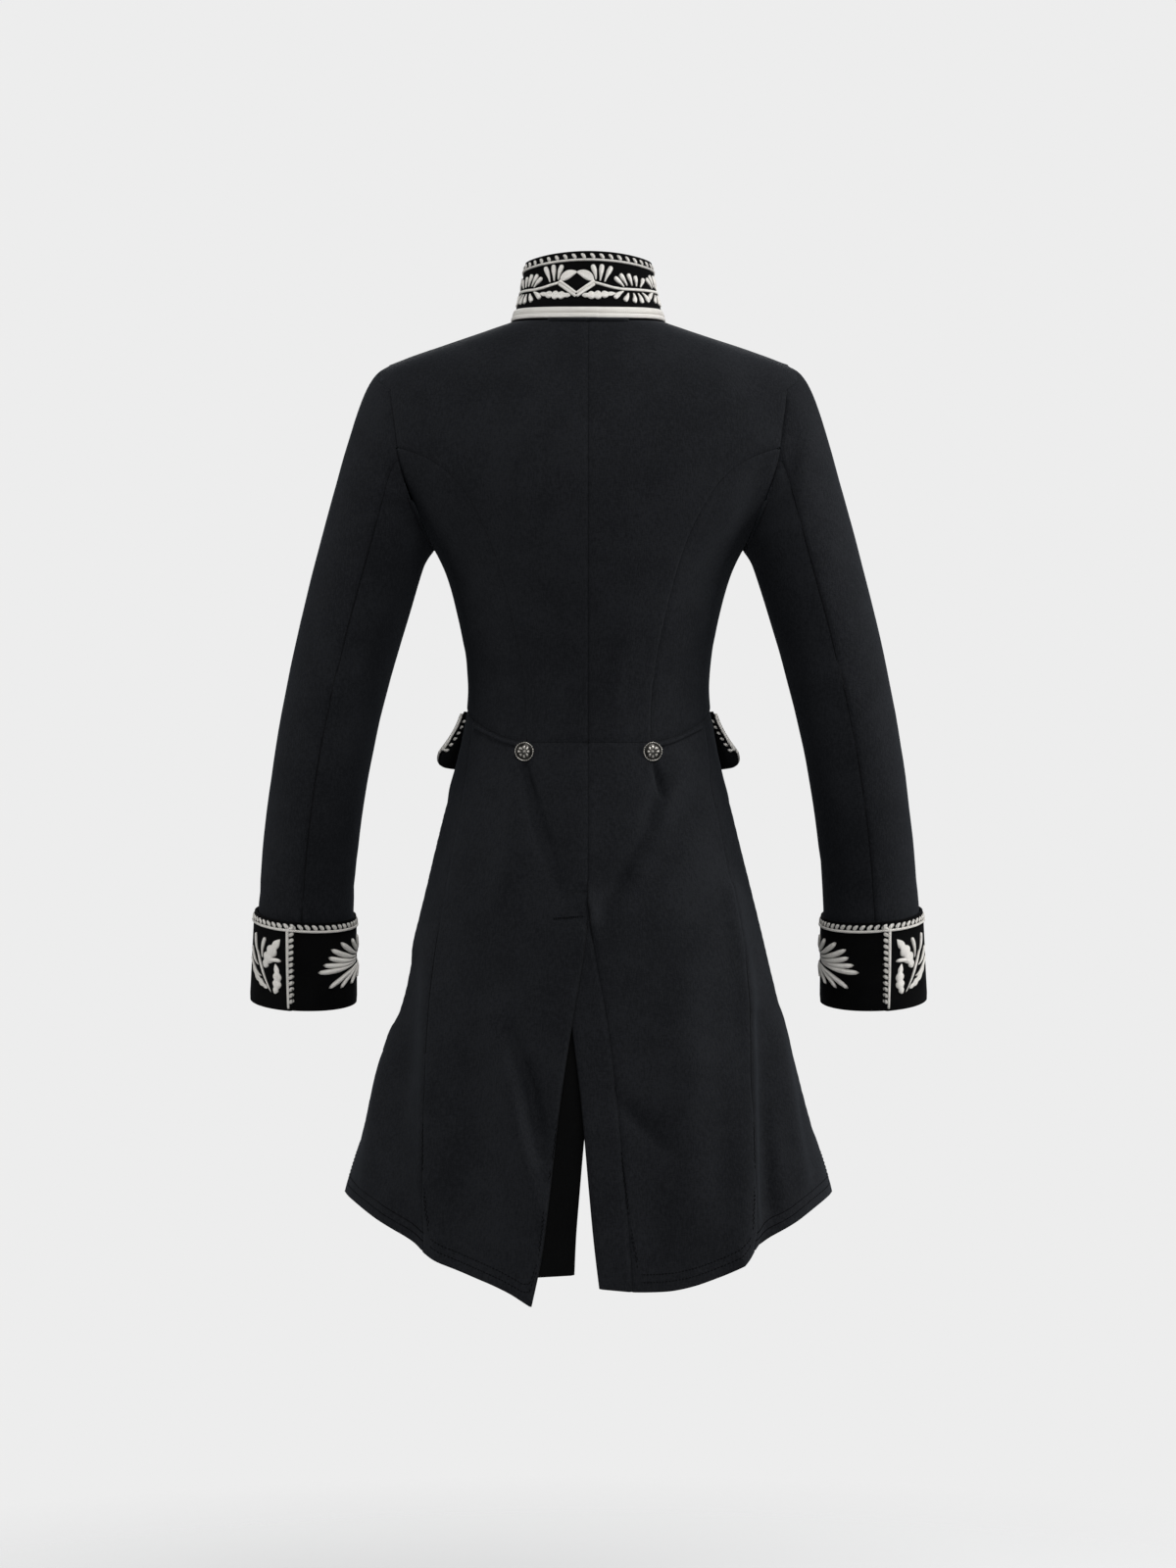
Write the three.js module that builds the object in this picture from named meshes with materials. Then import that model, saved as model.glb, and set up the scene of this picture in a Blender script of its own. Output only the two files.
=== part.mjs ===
// A regency tailcoat for a woman, filled out as if worn, in black wool cloth with velvet trim.
// Millimetres. +Z is up, the fronts face -Y, the backs face +Y, and +X is the wearer's left.
// The origin is the middle of the neck, level with the side neck points where the shoulders carry the coat.
//
// The coat's body is one rounded surface, given by its half width and its depths at each height.
// Each panel is a patch of that surface between its seams, and gets its thickness inwards.
// The left half is worked out, and the right half is its mirror image apart from the tails.

import * as THREE from "three";

// Cloth and seams
const CLOTH = 2;
const VELVET = 2.2;
const COLLAR_CLOTH = 3;
const SEAM = 0.3;
const LAID_ON = 0.4;
const WAIST_GAP = 0.7;
const COLLAR_GAP = 0.015;

// The body surface: half width, and the depths at the centre back and the centre front
const BODY_POWER = 2.15;
const WIDTHS = [
  { z: 0, half: 77 },
  { z: -3, half: 77 },
  { z: -9, half: 95 },
  { z: -12.6, half: 104.5 },
  { z: -22, half: 135 },
  { z: -32, half: 165 },
  { z: -44, half: 197 },
  { z: -50, half: 206 },
  { z: -60, half: 216 },
  { z: -75, half: 224 },
  { z: -95, half: 227 },
  { z: -126, half: 224 },
  { z: -160, half: 213 },
  { z: -182, half: 199 },
  { z: -205, half: 177 },
  { z: -218, half: 162 },
  { z: -228, half: 153 },
  { z: -245, half: 144.5 },
  { z: -265, half: 138 },
  { z: -304, half: 128 },
  { z: -342, half: 121.3 },
  { z: -365, half: 119.8 },
  { z: -391, half: 121.5 },
  { z: -418, half: 126 },
  { z: -459, half: 136.8 },
  { z: -507, half: 149 },
  { z: -556, half: 161 },
  { z: -653, half: 184.8 },
  { z: -750, half: 210 },
  { z: -847, half: 238 },
  { z: -862, half: 242 },
  { z: -976, half: 272 },
];
const BACKS = [
  { z: 0, depth: 60 },
  { z: -20, depth: 67 },
  { z: -44, depth: 76 },
  { z: -80, depth: 88 },
  { z: -126, depth: 97 },
  { z: -165, depth: 101 },
  { z: -205, depth: 100 },
  { z: -250, depth: 95 },
  { z: -300, depth: 87 },
  { z: -350, depth: 80.5 },
  { z: -391, depth: 78.5 },
  { z: -418, depth: 81 },
  { z: -459, depth: 88 },
  { z: -507, depth: 97 },
  { z: -560, depth: 105.5 },
  { z: -653, depth: 116 },
  { z: -750, depth: 125 },
  { z: -847, depth: 133 },
  { z: -976, depth: 142 },
];
const FRONTS = [
  { z: 0, depth: 15 },
  { z: -3, depth: 18 },
  { z: -6, depth: 24 },
  { z: -12, depth: 30 },
  { z: -21, depth: 36 },
  { z: -38, depth: 45 },
  { z: -55, depth: 53 },
  { z: -72, depth: 60 },
  { z: -90, depth: 67 },
  { z: -110, depth: 76 },
  { z: -135, depth: 88 },
  { z: -170, depth: 104 },
  { z: -215, depth: 117 },
  { z: -245, depth: 118 },
  { z: -285, depth: 112 },
  { z: -330, depth: 103 },
  { z: -380, depth: 96 },
  { z: -418, depth: 95 },
  { z: -459, depth: 100 },
  { z: -507, depth: 107 },
  { z: -560, depth: 113 },
  { z: -653, depth: 121 },
  { z: -750, depth: 127 },
  { z: -862, depth: 132 },
];

// Neck: the seam is nearly level round the back and drops to the centre front
const NECK_HALF = 77;
const NECK_BACK = -6.5;
const NECK_SIDE = -3;
const NECK_FRONT = -72;

// Armhole, from the shoulder point down its back edge and down its front edge
const SCYE_BACK = [
  { x: 197, z: -44 },
  { x: 193, z: -74 },
  { x: 190, z: -104 },
  { x: 187, z: -131 },
  { x: 186, z: -145 },
  { x: 180, z: -165 },
  { x: 172, z: -186 },
  { x: 163, z: -207 },
  { x: 155, z: -224 },
];
const SCYE_FRONT = [
  { x: 197, z: -44 },
  { x: 190, z: -72 },
  { x: 182, z: -100 },
  { x: 175, z: -128 },
  { x: 170, z: -156 },
  { x: 167, z: -182 },
  { x: 161, z: -206 },
];
const SIDE_SEAM_ANGLE = 96;
const SIDE_SEAM_TOP = -229;

// The curved seam of the back, from the armhole to the waist
const PRINCESS = [
  { x: 187, z: -131 },
  { x: 150, z: -143 },
  { x: 126, z: -165 },
  { x: 109, z: -190 },
  { x: 97.5, z: -221 },
  { x: 82.5, z: -265 },
  { x: 71.5, z: -310 },
  { x: 62, z: -363 },
  { x: 60.5, z: -388 },
  { x: 60.5, z: -419 },
];

// Waist seam, by the angle round from the centre back
const WAIST = [
  { angle: 0, z: -419 },
  { angle: 27, z: -419 },
  { angle: 38, z: -415 },
  { angle: 46, z: -410 },
  { angle: 55, z: -404 },
  { angle: 69, z: -396 },
  { angle: 77, z: -390 },
  { angle: 90, z: -386 },
  { angle: 120, z: -388 },
  { angle: 150, z: -396 },
  { angle: 180, z: -404 },
];

// Tails: the seam at each side, the hem, and the vent at the centre back
const TAIL_SIDE = [
  { x: 114.5, z: -399 },
  { x: 119, z: -440 },
  { x: 126, z: -488 },
  { x: 140, z: -560 },
  { x: 149, z: -620 },
  { x: 154, z: -735 },
  { x: 157.5, z: -830 },
  { x: 160, z: -908 },
];
const LEFT_HEM = [
  { x: 54.7, z: -957 },
  { x: 60, z: -954 },
  { x: 67, z: -949 },
  { x: 76, z: -943.6 },
  { x: 93, z: -936 },
  { x: 117, z: -927 },
  { x: 144, z: -917 },
  { x: 160, z: -908 },
];
const RIGHT_HEM = [
  { x: 41.6, z: -943 },
  { x: 58.5, z: -943.5 },
  { x: 81, z: -942.7 },
  { x: 103, z: -937.6 },
  { x: 129, z: -929 },
  { x: 148, z: -920 },
  { x: 160, z: -908 },
];
const FORE_HEM = [
  { x: 160, z: -908 },
  { x: 171, z: -898 },
  { x: 196, z: -883.5 },
  { x: 223, z: -869 },
  { x: 239, z: -861 },
];
const VENT_TOP = -588;
const LAP_EDGE = [
  { z: -588, x: 0.5 },
  { z: -621, x: 4 },
  { z: -670, x: 12.7 },
  { z: -721, x: 21 },
  { z: -787, x: 30.5 },
  { z: -853, x: 37 },
  { z: -903, x: 43.5 },
  { z: -931, x: 47.5 },
  { z: -957, x: 54.7 },
];
const UNDERLAP_SEAM = [
  { z: -588, x: -1 },
  { z: -605, x: -2.2 },
  { z: -649, x: -12 },
  { z: -707, x: -21 },
  { z: -759, x: -27 },
  { z: -860, x: -36 },
  { z: -926, x: -41.6 },
  { z: -943, x: -41.6 },
];
const UNDERLAP_EDGE = [
  { z: -588, x: 27 },
  { z: -691, x: 16 },
  { z: -759, x: 7 },
  { z: -833, x: 0.5 },
  { z: -908, x: -6.5 },
  { z: -940, x: -10.7 },
];
const UNDERLAP_HEM = { edge: -940, seam: -943 };
const FACING_EDGE = [
  { z: -588, x: -14.6 },
  { z: -815, x: 6 },
  { z: -871, x: 10.8 },
  { z: -908, x: 13.6 },
  { z: -927, x: 14 },
];
const FACING_FOLD = [
  { z: -588, x: 41 },
  { z: -691, x: 34 },
  { z: -787, x: 43 },
  { z: -853, x: 50 },
  { z: -930, x: 61 },
];
const FACING_HEM = { fold: -930, edge: -928 };
const FACING_DROP = 4;
// Lap: how far it stands out below the vent's top and at the hem, and where those lifts start and end
const LAP = { lift: 2.9, atHem: 4.5, start: 34, run: 33, deepens: -700, over: 200, flat: 44, fades: 60 };
const FACING_DEPTH = 14;

// The front edge of the skirt, cut away from the centre front to the side hem
const FORE_EDGE = [
  { angle: 180, z: -404 },
  { angle: 173, z: -430 },
  { angle: 161, z: -459 },
  { angle: 147, z: -500 },
  { angle: 132, z: -560 },
  { angle: 118, z: -640 },
  { angle: 108, z: -720 },
  { angle: 99.5, z: -800 },
  { angle: 93, z: -850 },
  { angle: 89, z: -861 },
];

// Folds of the hanging skirt, by their place at the hem. A flute rolls over the side seam.
const FOLD_TOP = -600;
const FOLD_DROP = 300;
const FOLDS = {
  left: [
    { x: 95, width: 24, depth: 3 },
    { x: 128, width: 16, depth: -2.5 },
    { x: 205, width: 20, depth: 4 },
    { x: 230, width: 14, depth: -2 },
  ],
  right: [
    { x: 62, width: 20, depth: -2.5 },
    { x: 100, width: 24, depth: 3 },
    { x: 200, width: 22, depth: 4.5 },
    { x: 228, width: 14, depth: -3 },
  ],
};
const FLUTE = { left: 5.5, right: 9.5, width: 13 };

// Arm: a centre for each ring, its tilt out from the body, its lean to the front, and its two half sizes
const ARM = [
  { x: 213.5, y: 0, z: -230.7, tilt: 16, lean: 0, half: 53, depth: 60 },
  { x: 228.4, y: 2, z: -284, tilt: 15.5, lean: -1, half: 52, depth: 58.5 },
  { x: 243.5, y: 4, z: -342, tilt: 14.5, lean: 0, half: 50.1, depth: 56 },
  { x: 257, y: 4, z: -400, tilt: 12, lean: 2, half: 48.8, depth: 53.5 },
  { x: 267.2, y: 1, z: -459, tilt: 9, lean: 5, half: 47.9, depth: 51 },
  { x: 275.2, y: -6, z: -517, tilt: 6.5, lean: 8, half: 47.4, depth: 49.5 },
  { x: 280.2, y: -15, z: -572, tilt: 4.5, lean: 9, half: 47.6, depth: 49 },
  { x: 282, y: -20, z: -607, tilt: 4, lean: 9.5, half: 48.4, depth: 49.6 },
  { x: 283.8, y: -30.5, z: -669, tilt: 2.5, lean: 9.5, half: 51.3, depth: 51.7 },
];
const CUFF = [
  { x: 281.1, y: -17, z: -587, tilt: 4, lean: 9.3, half: 51.4, depth: 52.3 },
  { x: 282.4, y: -23, z: -628, tilt: 3.2, lean: 9.5, half: 52.6, depth: 53.3 },
  { x: 284, y: -31, z: -673, tilt: 2.5, lean: 9.5, half: 54, depth: 54.3 },
];
const CAP_ROWS = [0, 0.1, 0.26, 0.48, 0.74];
const CAP_RISE = 0.13;
const CAP_PULL = 0.33;

// Collar: a stand of velvet, leaning in towards its top edge
const COLLAR_TOP = { half: 64, back: 52, front: 50, backZ: 60, sideZ: 54, frontZ: -14 };
const COLLAR_COLUMNS = 24;
const COLLAR_ROWS = 3;
const COLLAR_BOW = 2.5;
const COLLAR_END = 179;
const FRONT_GAP = 0.8;
const BASE_BRAID = [
  { up: 0.6, raised: 0.5 },
  { up: 2.8, raised: 1.5 },
  { up: 5, raised: 0.6 },
  { up: 6.4, raised: 1 },
  { up: 7.4, raised: 0.6 },
  { up: 10, raised: 2.2 },
  { up: 12.8, raised: 0.5 },
];

// Picot braid: a flat band with small teeth along one edge
const BRAID = { width: 4, tooth: 3.4, thick: 1.2, pitch: 7.3 };

// Pocket flaps, cuff overlap, waist welts and buttons
const FLAP = { from: 85, middle: 40, width: 118, level: -420, drop: 58, stand: 15.5, corner: 0.22 };
const BRAID_INSET = 0.6;
const CUFF_LAP = { from: 5, to: 28, ramp: 6, lift: VELVET + LAID_ON };
const CUFF_BRAID_DROP = 9.5;
const CUFF_EDGE_INSET = 0.62;
const WELT = { from: 67, to: 111, level: -408, width: 4, raised: 1.5, lift: 0.8 };
const BUTTON = { x: 62, z: -427.5, radius: 9.5, height: 4.6, shank: 3, stand: 2 };

// Finishes
const wool = new THREE.MeshStandardMaterial({ color: 0x1c1e22, roughness: 0.92 });
const velvet = new THREE.MeshStandardMaterial({ color: 0x070708, roughness: 0.95 });
const silver = new THREE.MeshStandardMaterial({ color: 0xc9c5bc, roughness: 0.45, metalness: 0.5 });
const metal = new THREE.MeshStandardMaterial({ color: 0x9b978e, roughness: 0.35, metalness: 0.95 });

const coat = new THREE.Group();
const vec = (x, y, z) => new THREE.Vector3(x, y, z);
const radians = THREE.MathUtils.degToRad;
const lerp = THREE.MathUtils.lerp;
const ramp = (t) => THREE.MathUtils.smoothstep(t, 0, 1);

// A smooth curve through a table's rows, which never swings past its own values.
function through(rows, key, value) {
  const sorted = [...rows].sort((a, b) => a[key] - b[key]);
  const x = sorted.map((row) => row[key]);
  const y = sorted.map((row) => row[value]);
  const last = x.length - 1;
  const step = x.slice(1).map((end, i) => (y[i + 1] - y[i]) / (end - x[i]));
  const slope = x.map((_, i) => {
    if (i === 0) return step[0];
    if (i === last) return step[last - 1];
    const product = step[i - 1] * step[i];
    return product <= 0 ? 0 : (2 * product) / (step[i - 1] + step[i]);
  });
  return (at) => {
    const t = THREE.MathUtils.clamp(at, x[0], x[last]);
    let i = x.findIndex((end) => end >= t) - 1;
    i = Math.max(i, 0);
    const h = x[i + 1] - x[i];
    const s = (t - x[i]) / h;
    const near = (1 + 2 * s) * (1 - s) ** 2 * y[i] + s * (1 - s) ** 2 * h * slope[i];
    const far = s * s * (3 - 2 * s) * y[i + 1] + s * s * (s - 1) * h * slope[i + 1];
    return near + far;
  };
}

const halfWidth = through(WIDTHS, "z", "half");
const backDepth = through(BACKS, "z", "depth");
const frontDepth = through(FRONTS, "z", "depth");
const waistZ = through(WAIST, "angle", "z");
const tailSideX = through(TAIL_SIDE, "z", "x");

// A point of the body surface, with its outward direction. The angle, in degrees, is 0 at the centre back.
function bodyAt(angle, z, out = 0) {
  const s = Math.sin(radians(angle));
  const c = Math.cos(radians(angle));
  const depthAt = c >= 0 ? backDepth : frontDepth;
  const half = halfWidth(z);
  const depth = depthAt(z);
  const x = Math.sign(s) * half * Math.abs(s) ** (2 / BODY_POWER);
  const y = Math.sign(c) * depth * Math.abs(c) ** (2 / BODY_POWER);
  const dHalf = (halfWidth(z + 1) - halfWidth(z - 1)) / 2;
  const dDepth = (depthAt(z + 1) - depthAt(z - 1)) / 2;
  const across = Math.abs(x) / half;
  const deep = Math.abs(y) / depth;
  const n = vec(
    (Math.sign(x) * across ** (BODY_POWER - 1)) / half,
    (Math.sign(y) * deep ** (BODY_POWER - 1)) / depth,
    -(across ** BODY_POWER * dHalf) / half - (deep ** BODY_POWER * dDepth) / depth,
  ).normalize();
  return { p: vec(x, y, z).addScaledVector(n, out), n };
}

// The angle at which the body surface has a given distance from the middle plane.
function angleAt(x, z, front = false) {
  const share = Math.min(Math.abs(x) / halfWidth(z), 1) ** (BODY_POWER / 2);
  const angle = Math.sign(x) * THREE.MathUtils.radToDeg(Math.asin(share));
  return front ? 180 - angle : angle;
}

const spots = (rows, front = false) => rows.map(({ x, z }) => ({ a: angleAt(x, z, front), z }));

// Evenly spaced places along a line of angle and height, measured on the surface.
function spread(line, count, fractions) {
  const fine = [];
  for (let i = 0; i < line.length - 1; i++)
    for (let k = 0; k < 12; k++)
      fine.push({ a: lerp(line[i].a, line[i + 1].a, k / 12), z: lerp(line[i].z, line[i + 1].z, k / 12) });
  fine.push(line[line.length - 1]);
  const run = [0];
  for (let i = 1; i < fine.length; i++) {
    const step = bodyAt(fine[i].a, fine[i].z).p.distanceTo(bodyAt(fine[i - 1].a, fine[i - 1].z).p);
    run.push(run[i - 1] + step);
  }
  const total = run[run.length - 1];
  const wanted = fractions ?? Array.from({ length: count + 1 }, (_, k) => k / count);
  return wanted.map((f) => {
    let i = run.findIndex((length) => length >= f * total - 1e-9);
    i = Math.max(i, 1);
    const s = (f * total - run[i - 1]) / (run[i] - run[i - 1]);
    return { a: lerp(fine[i - 1].a, fine[i].a, s), z: lerp(fine[i - 1].z, fine[i].z, s) };
  });
}

// A patch between four edges, each a list of places. Rows run from the top edge to the bottom edge.
function patch(top, bottom, first, last, across, fade, keys) {
  const rows = first.length - 1;
  const columns = top.length - 1;
  const made = [];
  for (let i = 0; i <= rows; i++) {
    const v = i / rows;
    const line = [];
    for (let j = 0; j <= columns; j++) {
      const u = across[j];
      const place = {};
      for (const key of keys) {
        const straight = lerp(first[i][key], last[i][key], u);
        const above = top[j][key] - lerp(first[0][key], last[0][key], u);
        const below = bottom[j][key] - lerp(first[rows][key], last[rows][key], u);
        place[key] = straight + (1 - v) ** fade * above + v ** fade * below;
      }
      line.push(place);
    }
    made.push(line);
  }
  return made;
}

const even = (count) => Array.from({ length: count + 1 }, (_, k) => k / count);

// Draws the outer edge of a grid in, so that two neighbours leave the seam's gap between them.
function drawIn(grid, by) {
  const rows = grid.length - 1;
  const columns = grid[0].length - 1;
  const towards = (from, to) => to.p.clone().sub(from.p).setLength(by);
  const moves = [];
  for (let i = 0; i <= rows; i++) {
    moves.push([grid[i][0], towards(grid[i][0], grid[i][1])]);
    moves.push([grid[i][columns], towards(grid[i][columns], grid[i][columns - 1])]);
  }
  for (let j = 0; j <= columns; j++) {
    moves.push([grid[0][j], towards(grid[0][j], grid[1][j])]);
    moves.push([grid[rows][j], towards(grid[rows][j], grid[rows - 1][j])]);
  }
  for (const [place, move] of moves) place.p.add(move);
  return grid;
}

// The closed wall behind a grid of outer points: each has its outward direction, and its own thickness t.
function wallGeometry(grid, thick) {
  const rows = grid.length - 1;
  const columns = grid[0].length - 1;
  const inner = (rows + 1) * (columns + 1);
  const id = (i, j) => i * (columns + 1) + j;
  const places = grid.flat();
  const position = places.flatMap(({ p }) => [p.x, p.y, p.z]);
  for (const { p, n, t } of places) {
    const q = p.clone().addScaledVector(n, -(t ?? thick));
    position.push(q.x, q.y, q.z);
  }
  const r = Math.floor(rows / 2);
  const c = Math.floor(columns / 2);
  const right = grid[r][c + 1].p.clone().sub(grid[r][c].p);
  const down = grid[r + 1][c].p.clone().sub(grid[r][c].p);
  const facing = right.cross(down).dot(grid[r][c].n) > 0;
  const index = [];
  const quad = (a, b, d, e) => {
    if (facing) index.push(a, b, d, a, d, e);
    else index.push(a, d, b, a, e, d);
  };
  for (let i = 0; i < rows; i++)
    for (let j = 0; j < columns; j++) {
      quad(id(i, j), id(i, j + 1), id(i + 1, j + 1), id(i + 1, j));
      quad(inner + id(i, j), inner + id(i + 1, j), inner + id(i + 1, j + 1), inner + id(i, j + 1));
    }
  const rim = [];
  for (let j = 0; j < columns; j++) rim.push(id(0, j));
  for (let i = 0; i < rows; i++) rim.push(id(i, columns));
  for (let j = columns; j > 0; j--) rim.push(id(rows, j));
  for (let i = rows; i > 0; i--) rim.push(id(i, 0));
  rim.forEach((from, k) => {
    const to = rim[(k + 1) % rim.length];
    quad(to, from, inner + from, inner + to);
  });
  const geometry = new THREE.BufferGeometry();
  geometry.setAttribute("position", new THREE.Float32BufferAttribute(position, 3));
  geometry.setIndex(index);
  return geometry;
}

function add(name, geometry, material) {
  geometry.computeVertexNormals();
  const mesh = new THREE.Mesh(geometry, material);
  mesh.name = name;
  coat.add(mesh);
}

// The same grid on the wearer's right.
const mirrored = (grid) =>
  grid.map((line) => line.map(({ p, n, t }) => ({ p: vec(-p.x, p.y, p.z), n: vec(-n.x, n.y, n.z), t })));

const copied = (grid) => grid.map((line) => line.map(({ p, n, t }) => ({ p: p.clone(), n, t })));

function addPair(name, grid, thick, material, gap = SEAM / 2) {
  const left = gap ? drawIn(copied(grid), gap) : grid;
  add(name + "_left", wallGeometry(left, thick), material);
  add(name + "_right", wallGeometry(mirrored(left), thick), material);
}

const onBody = (places, out = 0) => places.map((line) => line.map(({ a, z }) => bodyAt(a, z, out)));
const onSide = (front) => (places) =>
  places.map((line) => line.map(({ x, z }) => bodyAt(angleAt(x, z, front), z)));

// Neck seam at a turn round from the centre back
function neckPlace(turn) {
  const x = NECK_HALF * Math.sin(radians(turn));
  if (turn <= 90) return { x, z: lerp(NECK_BACK, NECK_SIDE, Math.sin(radians(turn)) ** 2), front: false };
  const fall = Math.cos(radians(turn)) ** 2;
  return { x, z: lerp(NECK_SIDE, NECK_FRONT, fall), front: true };
}

// Armhole: shared by the panels and the sleeve, so they meet vertex to vertex
const SCYE_COUNT = { backPanel: 6, toSeam: 1, underBack: 5, underFront: 5, overFront: 5 };
const scyeBack = spots(SCYE_BACK);
const scyeBackTop = spread(scyeBack.slice(0, 4), SCYE_COUNT.backPanel);
const scyeUnder = [...scyeBack.slice(3), { a: 90, z: -228 }, { a: SIDE_SEAM_ANGLE, z: SIDE_SEAM_TOP }];
const scyeUnderEven = spread(scyeUnder, 0, [0, 0.08, 0.25, 0.43, 0.62, 0.81, 1]);
const scyeFrontLine = [...spots(SCYE_FRONT, true), { a: SIDE_SEAM_ANGLE, z: SIDE_SEAM_TOP }];
const scyeFront = spread(scyeFrontLine, SCYE_COUNT.underFront + SCYE_COUNT.overFront);

// Bodice
const waistPlace = (a) => ({ a, z: waistZ(a) });
const asX = ({ a, z }) => ({ x: bodyAt(a, z).p.x, z });
const princess = spread(spots(PRINCESS), 9);
const waistPrincess = angleAt(PRINCESS[9].x, PRINCESS[9].z);

function backPanel() {
  const neck = [0, 22, 44, 66].map((turn) => neckPlace(turn));
  const ridge = even(6).map((t) => {
    const x = lerp(NECK_HALF, SCYE_BACK[0].x, t);
    return { x, z: ridgeZ(x) };
  });
  const top = [...neck, ...ridge];
  const outer = [...scyeBackTop, ...princess.slice(1)].map(asX);
  const drops = [0, 1, 5, 14, 29, 50, 77, 107, 140, 176, 214, 254, 296, 338, 378, 412.5];
  const centre = drops.map((drop) => ({ x: 0, z: NECK_BACK - drop }));
  const across = top.map(({ x }) => x / SCYE_BACK[0].x);
  const waistEnd = PRINCESS[PRINCESS.length - 1];
  const bottom = across.map((u) => ({ x: waistEnd.x * u, z: waistEnd.z }));
  return onSide(false)(patch(top, bottom, centre, outer, across, 1.6, ["x", "z"]));
}

// Height of the shoulder's ridge, where the front and the back panels meet
const HALVINGS = 40;
function ridgeZ(x) {
  let high = NECK_SIDE;
  let low = SCYE_BACK[0].z;
  for (let k = 0; k < HALVINGS; k++) {
    const middle = (high + low) / 2;
    if (halfWidth(middle) < x) high = middle;
    else low = middle;
  }
  return (high + low) / 2;
}

function sidePanel() {
  const top = scyeUnderEven;
  const rows = princess.length - 1;
  const seam = even(rows).map((t) => ({
    a: SIDE_SEAM_ANGLE,
    z: lerp(SIDE_SEAM_TOP, waistZ(SIDE_SEAM_ANGLE), t),
  }));
  const across = even(top.length - 1);
  const bottom = across.map((u) => waistPlace(lerp(waistPrincess, SIDE_SEAM_ANGLE, u)));
  return onBody(patch(top, bottom, princess, seam, across, 1, ["a", "z"]));
}

function frontPanel() {
  const neck = [180, 162, 144, 126, 108].map((turn) => neckPlace(turn));
  const ridge = even(6).map((t) => {
    const x = lerp(NECK_HALF, SCYE_BACK[0].x, t);
    return { x, z: ridgeZ(x) };
  });
  const top = [...neck, ...ridge];
  const seamRows = 5;
  const seam = even(seamRows).map((t) => ({
    a: SIDE_SEAM_ANGLE,
    z: lerp(SIDE_SEAM_TOP, waistZ(SIDE_SEAM_ANGLE), t),
  }));
  const outer = [...scyeFront, ...seam.slice(1)].map(asX);
  const drops = [0, 3, 9, 19, 33, 51, 72, 95, 119, 144, 170, 200, 232, 265, 298, 332];
  const centre = drops.map((drop) => ({ x: 0, z: NECK_FRONT - drop }));
  const columns = top.length - 1;
  const across = even(columns).map(
    (t) => Math.sin(radians(t * (180 - SIDE_SEAM_ANGLE))) / Math.sin(radians(SIDE_SEAM_ANGLE)),
  );
  const bottom = even(columns).map((t) => asX(waistPlace(lerp(180, SIDE_SEAM_ANGLE, t))));
  return onSide(true)(patch(top, bottom, centre, outer, across, 2, ["x", "z"]));
}

addPair("back", backPanel(), CLOTH, wool);
addPair("side", sidePanel(), CLOTH, wool);
addPair("front", frontPanel(), CLOTH, wool);

// Tails and fore skirts hang from the waist seam, with folds that deepen towards the hem.
function foldAt(side, x, z) {
  const sink = ramp((FOLD_TOP - z) / FOLD_DROP);
  const scale = halfWidth(z) / halfWidth(FOLD_TOP - FOLD_DROP);
  const soft = FOLDS[side].reduce((sum, { x: at, width, depth }) => {
    const away = (x - at * scale) / width;
    return sum + depth * Math.exp(-away * away);
  }, 0);
  const away = (tailSideX(z) - x) / FLUTE.width;
  const flute = FLUTE[side] * away * Math.exp(0.5 - 0.5 * away * away);
  return sink * (soft + flute);
}

// The left tail stands proud of the right one along the vent.
function lapLift(x, z) {
  const down = ramp((VENT_TOP + LAP.start - z) / LAP.run);
  const deeper = lerp(LAP.lift, LAP.atHem, ramp((LAP.deepens - z) / LAP.over));
  return down * deeper * (1 - ramp((x - LAP.flat) / LAP.fades));
}

function skirtAt(side, a, z, extra = 0) {
  const x = Math.abs(bodyAt(a, z).p.x);
  const fold = Math.abs(a) < 90 ? foldAt(side, x, z) : 0;
  const lap = side === "left" && Math.abs(a) < 90 ? lapLift(x, z) : 0;
  return bodyAt(a, z, fold + lap + extra);
}

const SEAM_ROWS = 5;
const VENT_ROWS = 9;
const TAIL_ROWS = SEAM_ROWS + VENT_ROWS;
const belowWaist = (a) => ({ a, z: waistZ(a) - WAIST_GAP });
const TAIL_ACROSS = [0, 0.09, 0.18, 0.28, 0.38, 0.48, 0.58, 0.68, 0.77, 0.85, 0.92, 1];

function tailPanel(side) {
  const left = side === "left";
  const waistEnd = angleAt(TAIL_SIDE[0].x, TAIL_SIDE[0].z);
  const top = TAIL_ACROSS.map((u) => belowWaist(waistEnd * u));
  const edgeX = left ? through(LAP_EDGE, "z", "x") : through(UNDERLAP_SEAM, "z", "x");
  const hem = left ? LEFT_HEM : RIGHT_HEM;
  const seamPart = even(SEAM_ROWS).slice(0, -1).map((t) => ({ a: 0, z: lerp(top[0].z, VENT_TOP, t) }));
  const ventPart = even(VENT_ROWS).map((t) => {
    const z = lerp(VENT_TOP, hem[0].z, t);
    return { a: angleAt(Math.abs(edgeX(z)), z), z };
  });
  const inner = [...seamPart, ...ventPart];
  const seam = spread([top[top.length - 1], ...spots(TAIL_SIDE.slice(1))], TAIL_ROWS);
  const bottom = spread(spots(hem), 0, TAIL_ACROSS);
  return patch(top, bottom, inner, seam, TAIL_ACROSS, 1, ["a", "z"]).map((line) =>
    line.map(({ a, z }) => skirtAt(side, a, z)),
  );
}

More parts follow.
